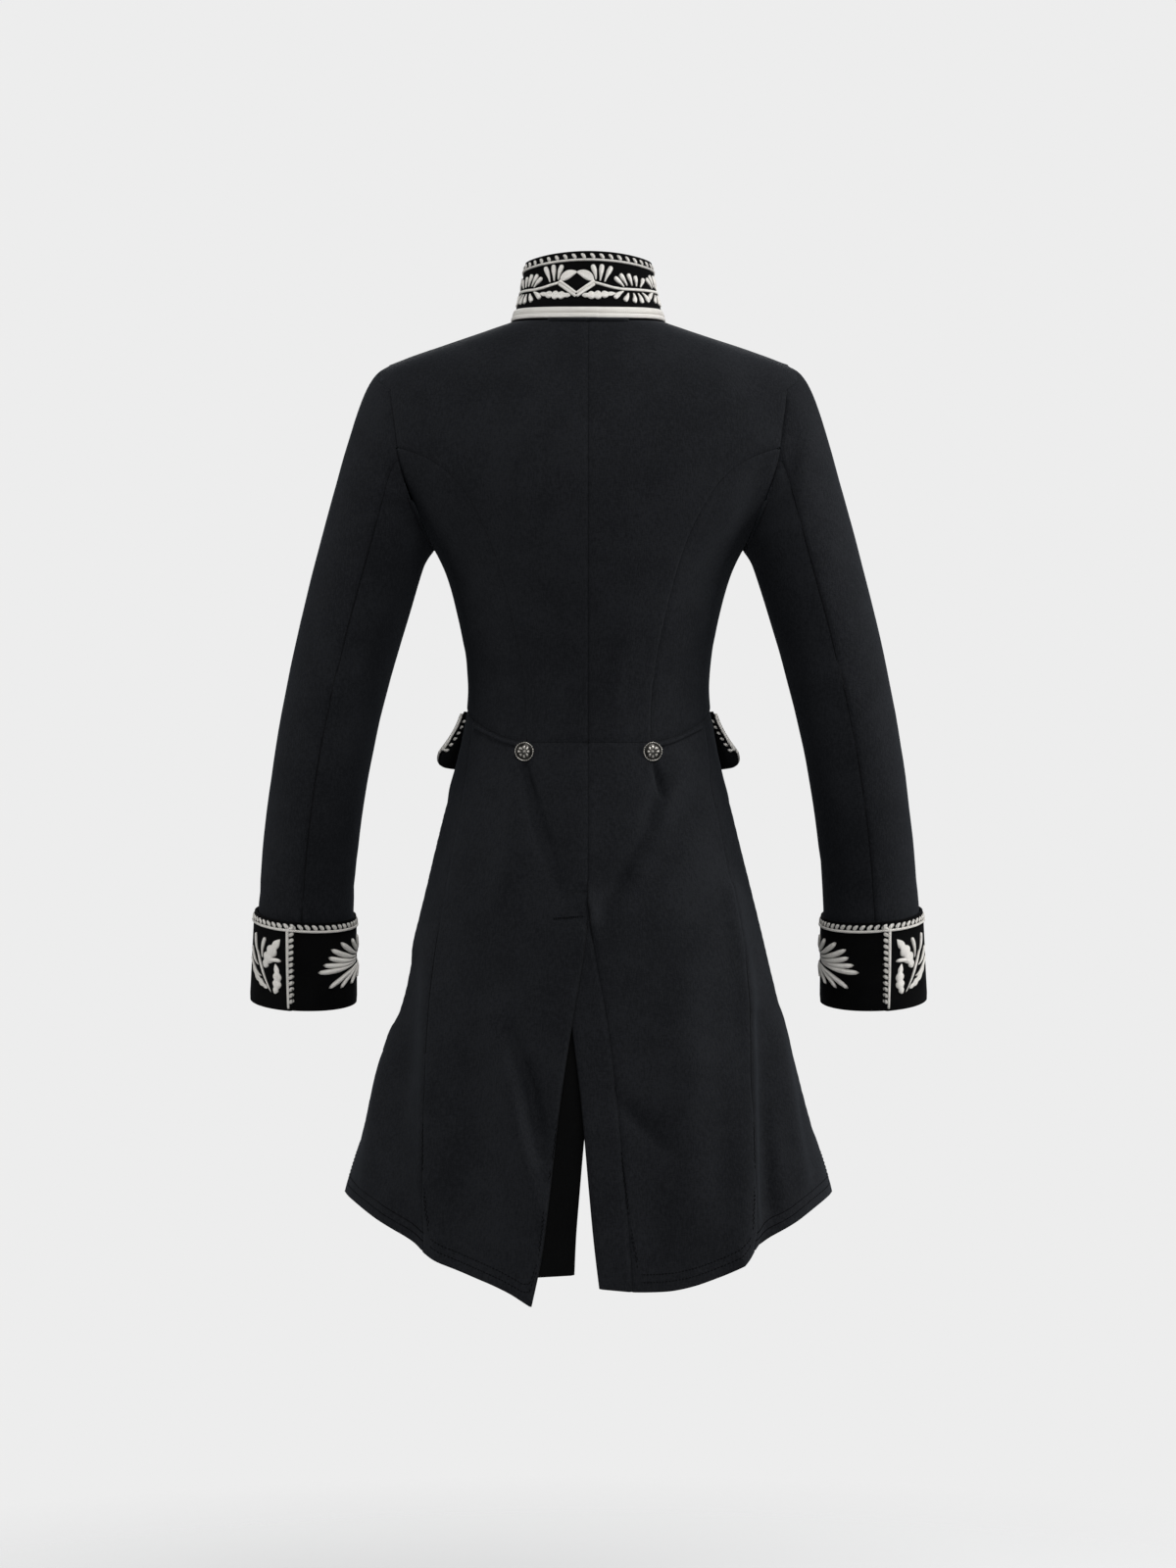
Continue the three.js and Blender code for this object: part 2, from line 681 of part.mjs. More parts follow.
function forePanel(side) {
  const across = [0, 0.07, 0.15, 0.25, 0.37, 0.5, 0.65, 0.82, 1];
  const waistStart = angleAt(TAIL_SIDE[0].x, TAIL_SIDE[0].z);
  const top = across.map((u) => belowWaist(lerp(waistStart, 180, u)));
  const seam = spread([top[0], ...spots(TAIL_SIDE.slice(1))], TAIL_ROWS);
  const edge = spread(FORE_EDGE.map(({ angle, z }) => ({ a: angle, z })), TAIL_ROWS);
  const corner = { a: FORE_EDGE[FORE_EDGE.length - 1].angle, z: FORE_EDGE[FORE_EDGE.length - 1].z };
  const bottom = spread([...spots(FORE_HEM), corner], 0, across);
  return patch(top, bottom, seam, edge, across, 1, ["a", "z"]).map((line) =>
    line.map(({ a, z }) => skirtAt(side, a, z)),
  );
}

function addSided(name, side, grid, thick, material, gap = SEAM / 2) {
  const drawn = gap ? drawIn(copied(grid), gap) : grid;
  add(name, wallGeometry(side === "right" ? mirrored(drawn) : drawn, thick), material);
}

for (const side of ["left", "right"]) {
  addSided("tail_" + side, side, tailPanel(side), CLOTH, wool);
  addSided("fore_skirt_" + side, side, forePanel(side), CLOTH, wool);
}

// The right tail's underlap runs behind the left tail's edge, and the left tail's facing lies behind both.
function strip({ near: nearRows, far: farRows, top, nearHem, farHem, columns, rows }, offset) {
  const near = through(nearRows, "z", "x");
  const far = through(farRows, "z", "x");
  return even(rows).map((v) =>
    even(columns).map((u) => {
      const z = lerp(top, lerp(nearHem, farHem, u), v);
      const x = lerp(near(z), far(z), u);
      return bodyAt(angleAt(x, z), z, offset(x, z, u, v));
    }),
  );
}

const underlapLines = {
  near: UNDERLAP_EDGE,
  far: UNDERLAP_SEAM,
  top: VENT_TOP - 1,
  nearHem: UNDERLAP_HEM.edge,
  farHem: UNDERLAP_HEM.seam,
  columns: 3,
  rows: VENT_ROWS,
};
const underlap = strip(underlapLines, (x, z) => foldAt("right", Math.max(-x, 0), z));
add("underlap_right", wallGeometry(drawIn(underlap, SEAM / 2), CLOTH), wool);

const facingLines = {
  near: FACING_FOLD,
  far: FACING_EDGE,
  top: VENT_TOP - FACING_DROP,
  nearHem: FACING_HEM.fold,
  farHem: FACING_HEM.edge,
  columns: 4,
  rows: 10,
};
const facing = strip(facingLines, (x, z, u, v) => {
  const inside = foldAt("left", Math.abs(x), z) + lapLift(Math.abs(x), z) - CLOTH - LAID_ON;
  const behind = -CLOTH - 2 * LAID_ON;
  const level = lerp(inside, Math.min(inside, behind), ramp(u / 0.3));
  return level - FACING_DEPTH * u * v * v;
});
add("vent_facing_left", wallGeometry(drawIn(facing, SEAM / 2), CLOTH), wool);

// Sleeves: the two halves of each tube share the armhole's places, and run on into rings down the arm.
const scyeLoop = [
  ...scyeBackTop,
  ...scyeUnderEven.slice(1),
  ...[...scyeFront].reverse().slice(1, -1),
].map(({ a, z }) => bodyAt(a, z).p);
const LOOP = scyeLoop.length;
const BACK_SEAM = SCYE_COUNT.backPanel + SCYE_COUNT.toSeam;
const UNDERARM = BACK_SEAM + SCYE_COUNT.underBack;
const FRONT_SEAM = UNDERARM + SCYE_COUNT.underFront;

// The turn round the arm for each place of the loop: 0 outside, 90 at the back, 180 inside, 270 in front
const loopTurn = (() => {
  const run = [0];
  for (let k = 1; k <= LOOP; k++)
    run.push(run[k - 1] + scyeLoop[k % LOOP].distanceTo(scyeLoop[k - 1]));
  const marks = [0, BACK_SEAM, UNDERARM, FRONT_SEAM, LOOP];
  return run.slice(0, LOOP + 1).map((length, k) => {
    const quarter = Math.min(marks.findIndex((mark) => mark > k) - 1, 3);
    const q = quarter < 0 ? 3 : quarter;
    const share = (length - run[marks[q]]) / (run[marks[q + 1]] - run[marks[q]]);
    return 90 * (q + share);
  });
})();

function ringFrame({ x, y, z, tilt, lean, half, depth }) {
  const t = radians(tilt);
  const l = radians(lean);
  return {
    centre: vec(x, y, z),
    out: vec(Math.cos(t), 0, Math.sin(t)),
    back: vec(Math.sin(t) * Math.sin(l), Math.cos(l), -Math.cos(t) * Math.sin(l)),
    axis: vec(Math.sin(t) * Math.cos(l), -Math.sin(l), -Math.cos(t) * Math.cos(l)),
    half,
    depth,
  };
}

function ringPoint(frame, turn, extra = 0) {
  const c = Math.cos(radians(turn));
  const s = Math.sin(radians(turn));
  const n = frame.out.clone().multiplyScalar(c / frame.half).addScaledVector(frame.back, s / frame.depth);
  n.normalize();
  const p = frame.centre
    .clone()
    .addScaledVector(frame.out, c * frame.half)
    .addScaledVector(frame.back, s * frame.depth)
    .addScaledVector(n, extra);
  return { p, n };
}

// The sleeve head leaves the armhole outwards and turns down the arm.
function capPoint(k, t, biceps) {
  const start = scyeLoop[k % LOOP];
  const turn = loopTurn[k % LOOP];
  const end = ringPoint(biceps, turn).p;
  const reach = start.distanceTo(end);
  const inwards = (1 - Math.cos(radians(turn))) / 2;
  const leave = vec(1, 0, CAP_RISE).lerp(biceps.axis, inwards).setLength(CAP_PULL * reach);
  const arrive = biceps.axis.clone().setLength(reach);
  return start
    .clone()
    .multiplyScalar((1 + 2 * t) * (1 - t) ** 2)
    .addScaledVector(leave, t * (1 - t) ** 2)
    .addScaledVector(end, t * t * (3 - 2 * t))
    .addScaledVector(arrive, t * t * (t - 1));
}

function sleeveGrid() {
  const frames = ARM.map(ringFrame);
  const rows = [
    ...CAP_ROWS.map((t) => Array.from({ length: LOOP }, (_, k) => capPoint(k, t, frames[0]))),
    ...frames.map((frame) => Array.from({ length: LOOP }, (_, k) => ringPoint(frame, loopTurn[k]).p)),
  ];
  return rows.map((line, i) =>
    line.map((p, k) => {
      const along = rows[Math.min(i + 1, rows.length - 1)][k].clone().sub(rows[Math.max(i - 1, 0)][k]);
      const round = line[(k + 1) % LOOP].clone().sub(line[(k + LOOP - 1) % LOOP]);
      return { p, n: along.cross(round).normalize() };
    }),
  );
}

function sleeveHalf(grid, from, to) {
  return grid.map((line) => {
    const part = [];
    for (let k = from; k <= to; k++) part.push(line[k % LOOP]);
    return part;
  });
}

const sleeve = sleeveGrid();
addPair("top_sleeve", sleeveHalf(sleeve, FRONT_SEAM, BACK_SEAM + LOOP), CLOTH, wool, SEAM / 1.5);
addPair("under_sleeve", sleeveHalf(sleeve, BACK_SEAM, FRONT_SEAM), CLOTH, wool, SEAM / 1.5);

// Turned-back velvet cuffs wrap round the sleeve, and their outer end laps over the other.
function cuffPlace(frame, k, extra = 0) {
  const lift = CUFF_LAP.lift * ramp((k - (CUFF_LAP.to - 1 - CUFF_LAP.ramp)) / CUFF_LAP.ramp);
  const turn = loopTurn[k % LOOP] + 360 * Math.floor(k / LOOP);
  return ringPoint(frame, turn, lift + extra);
}

const cuffFrames = CUFF.map(ringFrame);
const cuffColumns = Array.from({ length: CUFF_LAP.to - CUFF_LAP.from + 1 }, (_, j) => CUFF_LAP.from + j);
const cuff = cuffFrames.map((frame) => cuffColumns.map((k) => cuffPlace(frame, k)));
addPair("cuff", cuff, VELVET, velvet, 0);

// A picot band along a line of stations. Each station has its place p, its outward direction n and the
// direction across the band, and each stretch between two stations carries one tooth.
function picotGeometry(stations, { width, tooth, thick }) {
  const count = stations.length - 1;
  const position = [];
  const push = (p) => position.push(p.x, p.y, p.z) / 3 - 1;
  const layer = (down) => {
    const base = stations.map(({ p, n }) => push(p.clone().addScaledVector(n, -down)));
    const valley = stations.map(({ p, n, across }) =>
      push(p.clone().addScaledVector(across, width).addScaledVector(n, -down)),
    );
    const tip = stations.slice(1).map((b, i) => {
      const a = stations[i];
      const middle = a.p.clone().add(b.p).multiplyScalar(0.5);
      middle.addScaledVector(a.across.clone().add(b.across).normalize(), width + tooth);
      return push(middle.addScaledVector(a.n.clone().add(b.n).normalize(), -down));
    });
    return { base, valley, tip };
  };
  const outer = layer(0);
  const inner = layer(thick);
  const first = stations[0];
  const along = stations[1].p.clone().sub(first.p);
  const facing = along.cross(first.across).dot(first.n) > 0;
  const index = [];
  const triangle = (a, b, c) => (facing ? index.push(a, b, c) : index.push(a, c, b));
  const quad = (a, b, c, d) => {
    triangle(a, b, c);
    triangle(a, c, d);
  };
  for (let i = 0; i < count; i++) {
    for (const [side, flip] of [
      [outer, false],
      [inner, true],
    ]) {
      const fan = [
        [side.base[i], side.base[i + 1], side.tip[i]],
        [side.base[i + 1], side.valley[i + 1], side.tip[i]],
        [side.valley[i], side.base[i], side.tip[i]],
      ];
      for (const [a, b, c] of fan) triangle(a, flip ? c : b, flip ? b : c);
    }
    quad(outer.base[i + 1], outer.base[i], inner.base[i], inner.base[i + 1]);
    quad(outer.tip[i], outer.valley[i + 1], inner.valley[i + 1], inner.tip[i]);
    quad(outer.valley[i], outer.tip[i], inner.tip[i], inner.valley[i]);
  }
  quad(outer.base[0], outer.valley[0], inner.valley[0], inner.base[0]);
  quad(outer.valley[count], outer.base[count], inner.base[count], inner.valley[count]);
  const geometry = new THREE.BufferGeometry();
  geometry.setAttribute("position", new THREE.Float32BufferAttribute(position, 3));
  geometry.setIndex(index);
  return geometry;
}

// Stations along a line of wall places, a whole number of teeth to each stretch of the wall.
function stationsAlong(line, lift) {
  const made = [];
  for (let i = 0; i < line.length - 1; i++) {
    const teeth = Math.max(1, Math.round(line[i].p.distanceTo(line[i + 1].p) / BRAID.pitch));
    for (let k = 0; k < teeth; k++) made.push(between(line[i], line[i + 1], k / teeth, lift));
  }
  made.push(between(line[line.length - 1], line[line.length - 1], 0, lift));
  return made;
}

function between(a, b, t, lift) {
  const n = a.n.clone().lerp(b.n, t).normalize();
  const across = a.across.clone().lerp(b.across, t).normalize();
  return { p: a.p.clone().lerp(b.p, t).addScaledVector(n, lift), n, across };
}

const mirroredLine = (line) =>
  line.map(({ p, n, across }) => ({
    p: vec(-p.x, p.y, p.z),
    n: vec(-n.x, n.y, n.z),
    across: vec(-across.x, across.y, across.z),
  }));

function addBraidPair(name, line, lift) {
  const stations = stationsAlong(line, lift);
  add(name + "_left", picotGeometry(stations, BRAID), silver);
  add(name + "_right", picotGeometry(mirroredLine(stations), BRAID), silver);
}

// Cuff braids: one runs round under the top edge, the other runs down the lapped end
const braidLift = BRAID.thick + LAID_ON;
const upCuff = cuffFrames[0].axis.clone().negate();
const cuffRing = cuffColumns.slice(1).map((k) => {
  const { p, n } = cuffPlace(cuffFrames[0], k);
  const lower = cuffPlace(cuffFrames[1], k).p;
  const down = lower.sub(p).normalize();
  return { p: p.addScaledVector(down, CUFF_BRAID_DROP), n, across: upCuff };
});
cuffRing[0].p.lerp(cuffRing[1].p, 0.12);
addBraidPair("cuff_braid", cuffRing, braidLift);

const cuffEdge = (() => {
  const line = [];
  for (const [row, share] of [
    [0, 0.32],
    [1, 0],
    [1, 0.5],
    [2, 0],
  ]) {
    const next = Math.min(row + 1, 2);
    const at = (k) => {
      const a = cuffPlace(cuffFrames[row], k);
      const b = cuffPlace(cuffFrames[next], k);
      return { p: a.p.lerp(b.p, share), n: a.n.lerp(b.n, share).normalize() };
    };
    const end = at(CUFF_LAP.to);
    const before = at(CUFF_LAP.to - 1);
    const across = end.p.clone().sub(before.p).normalize();
    const n = end.n.clone().lerp(before.n, CUFF_EDGE_INSET).normalize();
    line.push({ p: end.p.clone().lerp(before.p, CUFF_EDGE_INSET), n, across });
  }
  return line;
})();
addBraidPair("cuff_edge_braid", cuffEdge, braidLift);

// Collar
function collarPoint(turn, up) {
  const side = Math.sign(turn) || 1;
  const a = Math.abs(turn);
  const neck = neckPlace(a);
  const base = bodyAt(angleAt(neck.x, neck.z, neck.front), neck.z).p;
  const s = Math.sin(radians(a));
  const c = Math.cos(radians(a));
  const { half, back, front, backZ, sideZ, frontZ } = COLLAR_TOP;
  const topZ = a <= 90 ? lerp(sideZ, backZ, c * c) : lerp(sideZ, frontZ, c * c);
  const top = vec(half * s, c >= 0 ? back * c : front * c, topZ);
  const p = base.lerp(top, up);
  const bow = COLLAR_BOW * 4 * up * (1 - up);
  p.addScaledVector(vec(s, c, 0).normalize(), -bow);
  p.x *= side;
  return p;
}

function collarPlace(turn, up) {
  const edge = 0.01;
  const p = collarPoint(turn, up);
  const round = collarPoint(turn + 0.5, up).sub(collarPoint(turn - 0.5, up));
  const rise = collarPoint(turn, up + edge).sub(collarPoint(turn, up - edge));
  const n = rise.cross(round).normalize();
  if (n.dot(vec(p.x, p.y, 0)) < 0) n.negate();
  return { p, n };
}

const collarTurns = even(COLLAR_COLUMNS).map((t) => lerp(-COLLAR_END, COLLAR_END, t));
const collar = even(COLLAR_ROWS).map((t) => {
  const up = lerp(COLLAR_GAP, 1, t);
  return collarTurns.map((turn) => collarPlace(turn, up));
});
for (const line of collar) {
  line[0].p.x = -FRONT_GAP;
  line[COLLAR_COLUMNS].p.x = FRONT_GAP;
  line[0].n = vec(0, -1, 0);
  line[COLLAR_COLUMNS].n = vec(0, -1, 0);
}
add("collar", wallGeometry(collar, COLLAR_CLOTH), velvet);

function alongCollar(j, row, height) {
  const a = collar[row][j];
  const b = collar[row + 1][j];
  const share = height / a.p.distanceTo(b.p);
  return { p: a.p.clone().lerp(b.p, share), n: a.n.clone().lerp(b.n, share).normalize() };
}

const baseBraid = BASE_BRAID.map(({ up, raised }) =>
  collarTurns.map((_, j) => {
    const { p, n } = alongCollar(j, 0, up);
    return { p: p.addScaledVector(n, LAID_ON + raised), n, t: raised };
  }),
);
add("collar_base_braid", wallGeometry(baseBraid, CLOTH), silver);

const collarRim = collarTurns.map((_, j) => {
  const top = collar[COLLAR_ROWS][j];
  const below = collar[COLLAR_ROWS - 1][j];
  const across = top.p.clone().sub(below.p).normalize();
  const down = top.p.clone().addScaledVector(across, -BRAID.width - BRAID.tooth - BRAID_INSET);
  return { p: down, n: top.n, across };
});
add("collar_top_braid", picotGeometry(stationsAlong(collarRim, braidLift), BRAID), silver);

// Pocket flaps hang from the waist seam over the hips, and their free edges stand away from the skirt.
const hipAt = (angle) => bodyAt(angle, FLAP.level).p;
const oneDegree = (angle) => hipAt(angle + 1).distanceTo(hipAt(angle));
const flapEnd = FLAP.from + (2 * FLAP.width) / (oneDegree(FLAP.from) + oneDegree(FLAP.from + FLAP.middle));

function flapPlace(u, v) {
  const angle = lerp(FLAP.from, flapEnd, u);
  const rounded = 1 - FLAP.corner * Math.abs(2 * u - 1) ** 5;
  const z = waistZ(angle) - 1.6 - FLAP.drop * v * rounded;
  return bodyAt(angle, z, VELVET + 2 * LAID_ON + FLAP.stand * v ** 1.35);
}

const FLAP_COLUMNS = 8;
const FLAP_ROWS = 4;
const flap = even(FLAP_ROWS).map((v) => even(FLAP_COLUMNS).map((u) => flapPlace(u, v)));
addPair("pocket_flap", flap, VELVET, velvet, 0);

const flapEdge = (() => {
  const centre = flap[1][FLAP_COLUMNS / 2].p;
  const ring = [];
  for (let i = 0; i <= FLAP_ROWS; i++) ring.push(flap[i][0]);
  for (let j = 1; j <= FLAP_COLUMNS; j++) ring.push(flap[FLAP_ROWS][j]);
  for (let i = FLAP_ROWS - 1; i >= 0; i--) ring.push(flap[i][FLAP_COLUMNS]);
  return ring.map(({ p, n }, k) => {
    const from = ring[Math.max(k - 1, 0)].p;
    const to = ring[Math.min(k + 1, ring.length - 1)].p;
    const across = n.clone().cross(to.clone().sub(from)).normalize();
    if (across.dot(centre.clone().sub(p)) < 0) across.negate();
    return { p: p.clone().addScaledVector(across, BRAID_INSET), n, across };
  });
})();
addBraidPair("flap_braid", flapEdge, braidLift);

// A narrow welt lies under the waist seam between the button and the side seam.
const weltColumns = 7;
const welt = [
  { down: 0.6, raised: 0.5 },
  { down: 1.4, raised: 1 },
  { down: 3.6, raised: 1 },
  { down: WELT.width + 0.4, raised: 0.5 },
].map(({ down, raised }) =>
  even(weltColumns).map((t) => {
    const x = lerp(WELT.from, WELT.to, t);
    const seamZ = waistZ(angleAt(x, WELT.level));
    const a = angleAt(x, seamZ - WAIST_GAP - down);
    const place = bodyAt(a, seamZ - WAIST_GAP - down, WELT.lift + raised * WELT.raised);
    return { ...place, t: raised * WELT.raised };
  }),
);
addPair("waist_welt", welt, CLOTH, wool, 0);

// Buttons: a domed shell with a rolled rim on a short shank
function buttonGeometry() {
  const { radius: r, height: h, shank, stand } = BUTTON;
  const profile = [
    [0, 0],
    [shank, 0],
    [shank, stand],
    [r * 0.86, stand],
    [r, stand + 0.5],
    [r * 1.02, stand + 1.1],
    [r * 0.97, stand + 1.7],
    [r * 0.88, stand + 1.8],
    [r * 0.7, stand + h * 0.66],
    [r * 0.4, stand + h * 0.92],
    [0, stand + h],
  ];
  const lathe = new THREE.LatheGeometry(profile.map(([x, y]) => new THREE.Vector2(x, y)), 16);
  lathe.rotateX(Math.PI / 2);
  return lathe;
}

for (const side of [1, -1]) {
  const { p, n } = bodyAt(angleAt(BUTTON.x, BUTTON.z), BUTTON.z, LAID_ON);
  const button = new THREE.Mesh(buttonGeometry(), metal);
  button.name = side > 0 ? "back_button_left" : "back_button_right";
  button.position.set(p.x * side, p.y, p.z);
  button.quaternion.setFromUnitVectors(vec(0, 0, 1), vec(n.x * side, n.y, n.z));
  coat.add(button);
}

export default coat;
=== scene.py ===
# %% [markdown]
# # A dark tailcoat, seen from behind
# The coat's plain panels come ready cut as a frame: closed walls of even
# thickness, in metres. This lesson turns each of them into soft cloth, lays
# braid and embroidery on the velvet, and lights the coat in a pale studio.

# %% Load the frame
from bisect import bisect_right
from math import acos, atan2, ceil, cos, exp, hypot, inf, pi, radians, sin

import bmesh
import bpy
from mathutils import Matrix, Vector, noise
from mathutils.bvhtree import BVHTree
from mathutils.kdtree import KDTree


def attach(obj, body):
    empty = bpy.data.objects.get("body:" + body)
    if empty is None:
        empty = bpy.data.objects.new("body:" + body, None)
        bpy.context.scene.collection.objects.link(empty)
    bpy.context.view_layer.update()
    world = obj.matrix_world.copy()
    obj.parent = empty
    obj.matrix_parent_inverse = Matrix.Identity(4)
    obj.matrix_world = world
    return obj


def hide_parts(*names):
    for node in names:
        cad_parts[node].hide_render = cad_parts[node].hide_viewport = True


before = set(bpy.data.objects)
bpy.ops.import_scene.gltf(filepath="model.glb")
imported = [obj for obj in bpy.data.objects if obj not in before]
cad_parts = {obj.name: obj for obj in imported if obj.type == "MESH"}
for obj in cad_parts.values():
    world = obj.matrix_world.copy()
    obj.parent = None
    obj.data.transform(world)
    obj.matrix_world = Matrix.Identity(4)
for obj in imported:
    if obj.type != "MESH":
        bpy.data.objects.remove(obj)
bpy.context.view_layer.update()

scene = bpy.context.scene


def new_object(name, data):
    """A linked object for a mesh, a light or a camera."""
    made = bpy.data.objects.new(name, data)
    scene.collection.objects.link(made)
    return made


print("panels in the frame:", len(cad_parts))

# %% [markdown]
# ## Camera and studio
# The photographer stood behind the coat at the height of its seat, far enough
# away that the perspective is mild. The sensor is fitted to the picture's
# height, so a taller or narrower picture keeps the coat's size. The floor is
# a pale disc that fades out at its rim, so it never cuts a line across the
# background.

# %% The camera
CAMERA_AWAY = 3.7
CAMERA_LEVEL = -0.459
PICTURE_HEIGHT = 1.552

camera_data = bpy.data.cameras.new("studio_camera")
camera_data.sensor_fit = "VERTICAL"
camera_data.sensor_height = 36
camera_data.lens = 36 * CAMERA_AWAY / PICTURE_HEIGHT
camera = new_object("studio_camera", camera_data)
camera.location = (0.0005, CAMERA_AWAY, CAMERA_LEVEL)
camera.rotation_euler = (radians(90), 0, radians(180))
scene.camera = camera
print("lens", round(camera_data.lens, 1), "mm")

# %% Soft lights
scene.view_settings.view_transform = "Standard"


def soft_light(name, place, aim, size, power):
    """A soft white light at a place, turned towards a point."""
    data = bpy.data.lights.new(name, "AREA")
    data.shape = "RECTANGLE"
    data.size, data.size_y = size
    data.energy = power
    lamp = new_object(name, data)
    lamp.location = place
    lamp.rotation_euler = (Vector(aim) - Vector(place)).to_track_quat("-Z", "Y").to_euler()


soft_light("upper_softbox", (-0.6, 1.7, 2.3), (0, 0, -0.3), (1.8, 1.0), 61)
soft_light("left_softbox", (2.6, 0.3, 0.3), (0, 0, -0.4), (0.8, 2.2), 30)
soft_light("right_softbox", (-2.6, 0.25, 0.5), (0, 0, -0.4), (0.8, 2.2), 62)
soft_light("back_fill", (0, 3.4, 0.2), (0, 0, -0.45), (2.0, 2.0), 26)
soft_light("front_fill", (0, -3.2, 1.6), (0, 0, -0.4), (2.4, 2.0), 40)

# %% [markdown]
# ## Nodes in one line each
# Every material here is a small net of nodes. One helper adds a node, sets its
# options and fills its inputs, each with a value or with another node's
# output, so that a net reads like a sum.


# %% A helper for nodes
def add_node(tree, kind, inputs=(), out=0, **options):
    """A new node's output; inputs are values or outputs, by name or number, or in order."""
    node = tree.nodes.new("ShaderNode" + kind)
    for option, value in options.items():
        setattr(node, option, value)
    for key, value in inputs.items() if isinstance(inputs, dict) else enumerate(inputs):
        if isinstance(value, bpy.types.NodeSocket):
            tree.links.new(value, node.inputs[key])
        elif value is not None:
            node.inputs[key].default_value = value
    return node.outputs[out] if node.outputs else node


print("node helper ready")

# %% The world
BACKDROP = 0.847
AROUND_STRENGTH = 0.11

world = bpy.data.worlds.new("pale_studio")
world.use_nodes = True
scene.world = world
tree = world.node_tree
tree.nodes.clear()
looks = add_node(tree, "LightPath", out="Is Camera Ray")
around = add_node(tree, "Background", ((0.9, 0.95, 1, 1), AROUND_STRENGTH))
seen = add_node(tree, "Background", ((BACKDROP, BACKDROP, BACKDROP, 1),))
add_node(tree, "OutputWorld", (add_node(tree, "MixShader", (looks, around, seen)),))
print("backdrop", BACKDROP)

# %% [markdown]
# ## A pale floor
# The coat hangs above the floor, which shows most in views from above. The
# disc's paint lets more and more of the background through towards its rim.

# %% The floor
FLOOR_LEVEL = -1.42
FLOOR_RADIUS = 1.6
FADE_FROM, FADE_TO = 0.55, 1.5


def new_material(name, shader_values):
    """A node material with values on its shader, its tree, and the shader."""
    made = bpy.data.materials.new(name)
    made.use_nodes = True
    shader = made.node_tree.nodes["Principled BSDF"]
    for label, value in shader_values.items():
        shader.inputs[label].default_value = value
    return made, made.node_tree, shader


PALE = {"Base Color": (0.86, 0.86, 0.86, 1), "Roughness": 0.9, "Specular IOR Level": 0}
floor_paint, tree, shader = new_material("pale_floor_paint", PALE)
place = add_node(tree, "TexCoord", out="Object")
flattened = add_node(tree, "VectorMath", (place, (1, 1, 0)), operation="MULTIPLY")
away = add_node(tree, "VectorMath", (flattened,), out="Value", operation="LENGTH")
fade = add_node(tree, "MapRange", (away, FADE_FROM, FADE_TO, 1, 0))
tree.links.new(fade, shader.inputs["Alpha"])

bm = bmesh.new()
bmesh.ops.create_circle(bm, cap_ends=True, segments=96, radius=FLOOR_RADIUS)
bmesh.ops.translate(bm, verts=bm.verts, vec=(0, 0, FLOOR_LEVEL))
mesh = bpy.data.meshes.new("studio_floor")
bm.to_mesh(mesh)
bm.free()
mesh.materials.append(floor_paint)
floor = new_object("studio_floor", mesh)
print("floor at", FLOOR_LEVEL, "m")

# %% [markdown]
# ## Cloth and thread as node groups
# Wool cloth, velvet pile and metal thread all owe their look to fibres far
# smaller than any crease. Three small groups make those: a nap of short
# slanting hairs with cloudy wear, a pile of fine tufts, and threads that lie
# side by side across a leaf or braid. Each group gives a height for a Bump
# node and a shade for the colour; in thread that shade is painted shade,
# darkest in the gaps between turns.


# %% Helpers for node groups
def new_group(name, numbers, outs):
    """A shader node group with number inputs, a vector input first, and number outputs."""
    group = bpy.data.node_groups.new(name, "ShaderNodeTree")
    group.interface.new_socket("Place", in_out="INPUT", socket_type="NodeSocketVector")
    for label, value in numbers.items():
        made = group.interface.new_socket(label, in_out="INPUT", socket_type="NodeSocketFloat")
        made.default_value = value
    for label in outs:
        group.interface.new_socket(label, in_out="OUTPUT", socket_type="NodeSocketFloat")
    return group, group.nodes.new("NodeGroupInput"), group.nodes.new("NodeGroupOutput")


def maths(tree, operation, first, second=None):
    """A Math node on numbers or other nodes' outputs."""
    return add_node(tree, "Math", (first, second), operation=operation)


def noise_of(tree, vector, scale, detail=2.0, stretch=None, turn=(0, 0, 0)):
    """Noise on a vector, stretched and turned where asked."""
    if stretch:
        vector = add_node(tree, "Mapping", {"Vector": vector, "Rotation": turn, "Scale": stretch})
    return add_node(tree, "TexNoise", {"Vector": vector, "Scale": scale, "Detail": detail}, "Fac")


print("helpers ready")

# %% The nap of wool
nap, into, out = new_group("wool_nap", {"Fibres": 520.0, "Clouds": 38.0}, ("Height", "Shade"))
where = into.outputs["Place"]
hairs = noise_of(nap, where, into.outputs["Fibres"], 3.0, (1, 1, 0.28), (0, radians(24), 0))
cross = noise_of(nap, where, into.outputs["Fibres"], 2.0, (0.3, 1, 1), (0, radians(24), 0))
cloud = noise_of(nap, where, into.outputs["Clouds"], 4.0)
broad = noise_of(nap, where, 9.0, 2.0)
lie = maths(nap, "ADD", hairs, maths(nap, "MULTIPLY", cross, 0.6))
nap.links.new(lie, out.inputs["Height"])
worn = maths(nap, "ADD", maths(nap, "MULTIPLY", cloud, 0.5), maths(nap, "MULTIPLY", broad, 0.5))
fleck = maths(nap, "MULTIPLY", maths(nap, "SUBTRACT", lie, 0.8), 1.05)
nap.links.new(maths(nap, "ADD", worn, fleck), out.inputs["Shade"])
print(nap.name, "made of", len(nap.nodes), "nodes")

# %% The pile of velvet
pile, into, out = new_group("velvet_pile", {"Tufts": 900.0}, ("Height", "Shade"))
where = into.outputs["Place"]
tufts = noise_of(pile, where, into.outputs["Tufts"], 2.0)
brushed = noise_of(pile, where, 24.0, 3.0)
pile.links.new(tufts, out.inputs["Height"])
pile.links.new(brushed, out.inputs["Shade"])
print(pile.name, "made of", len(pile.nodes), "nodes")

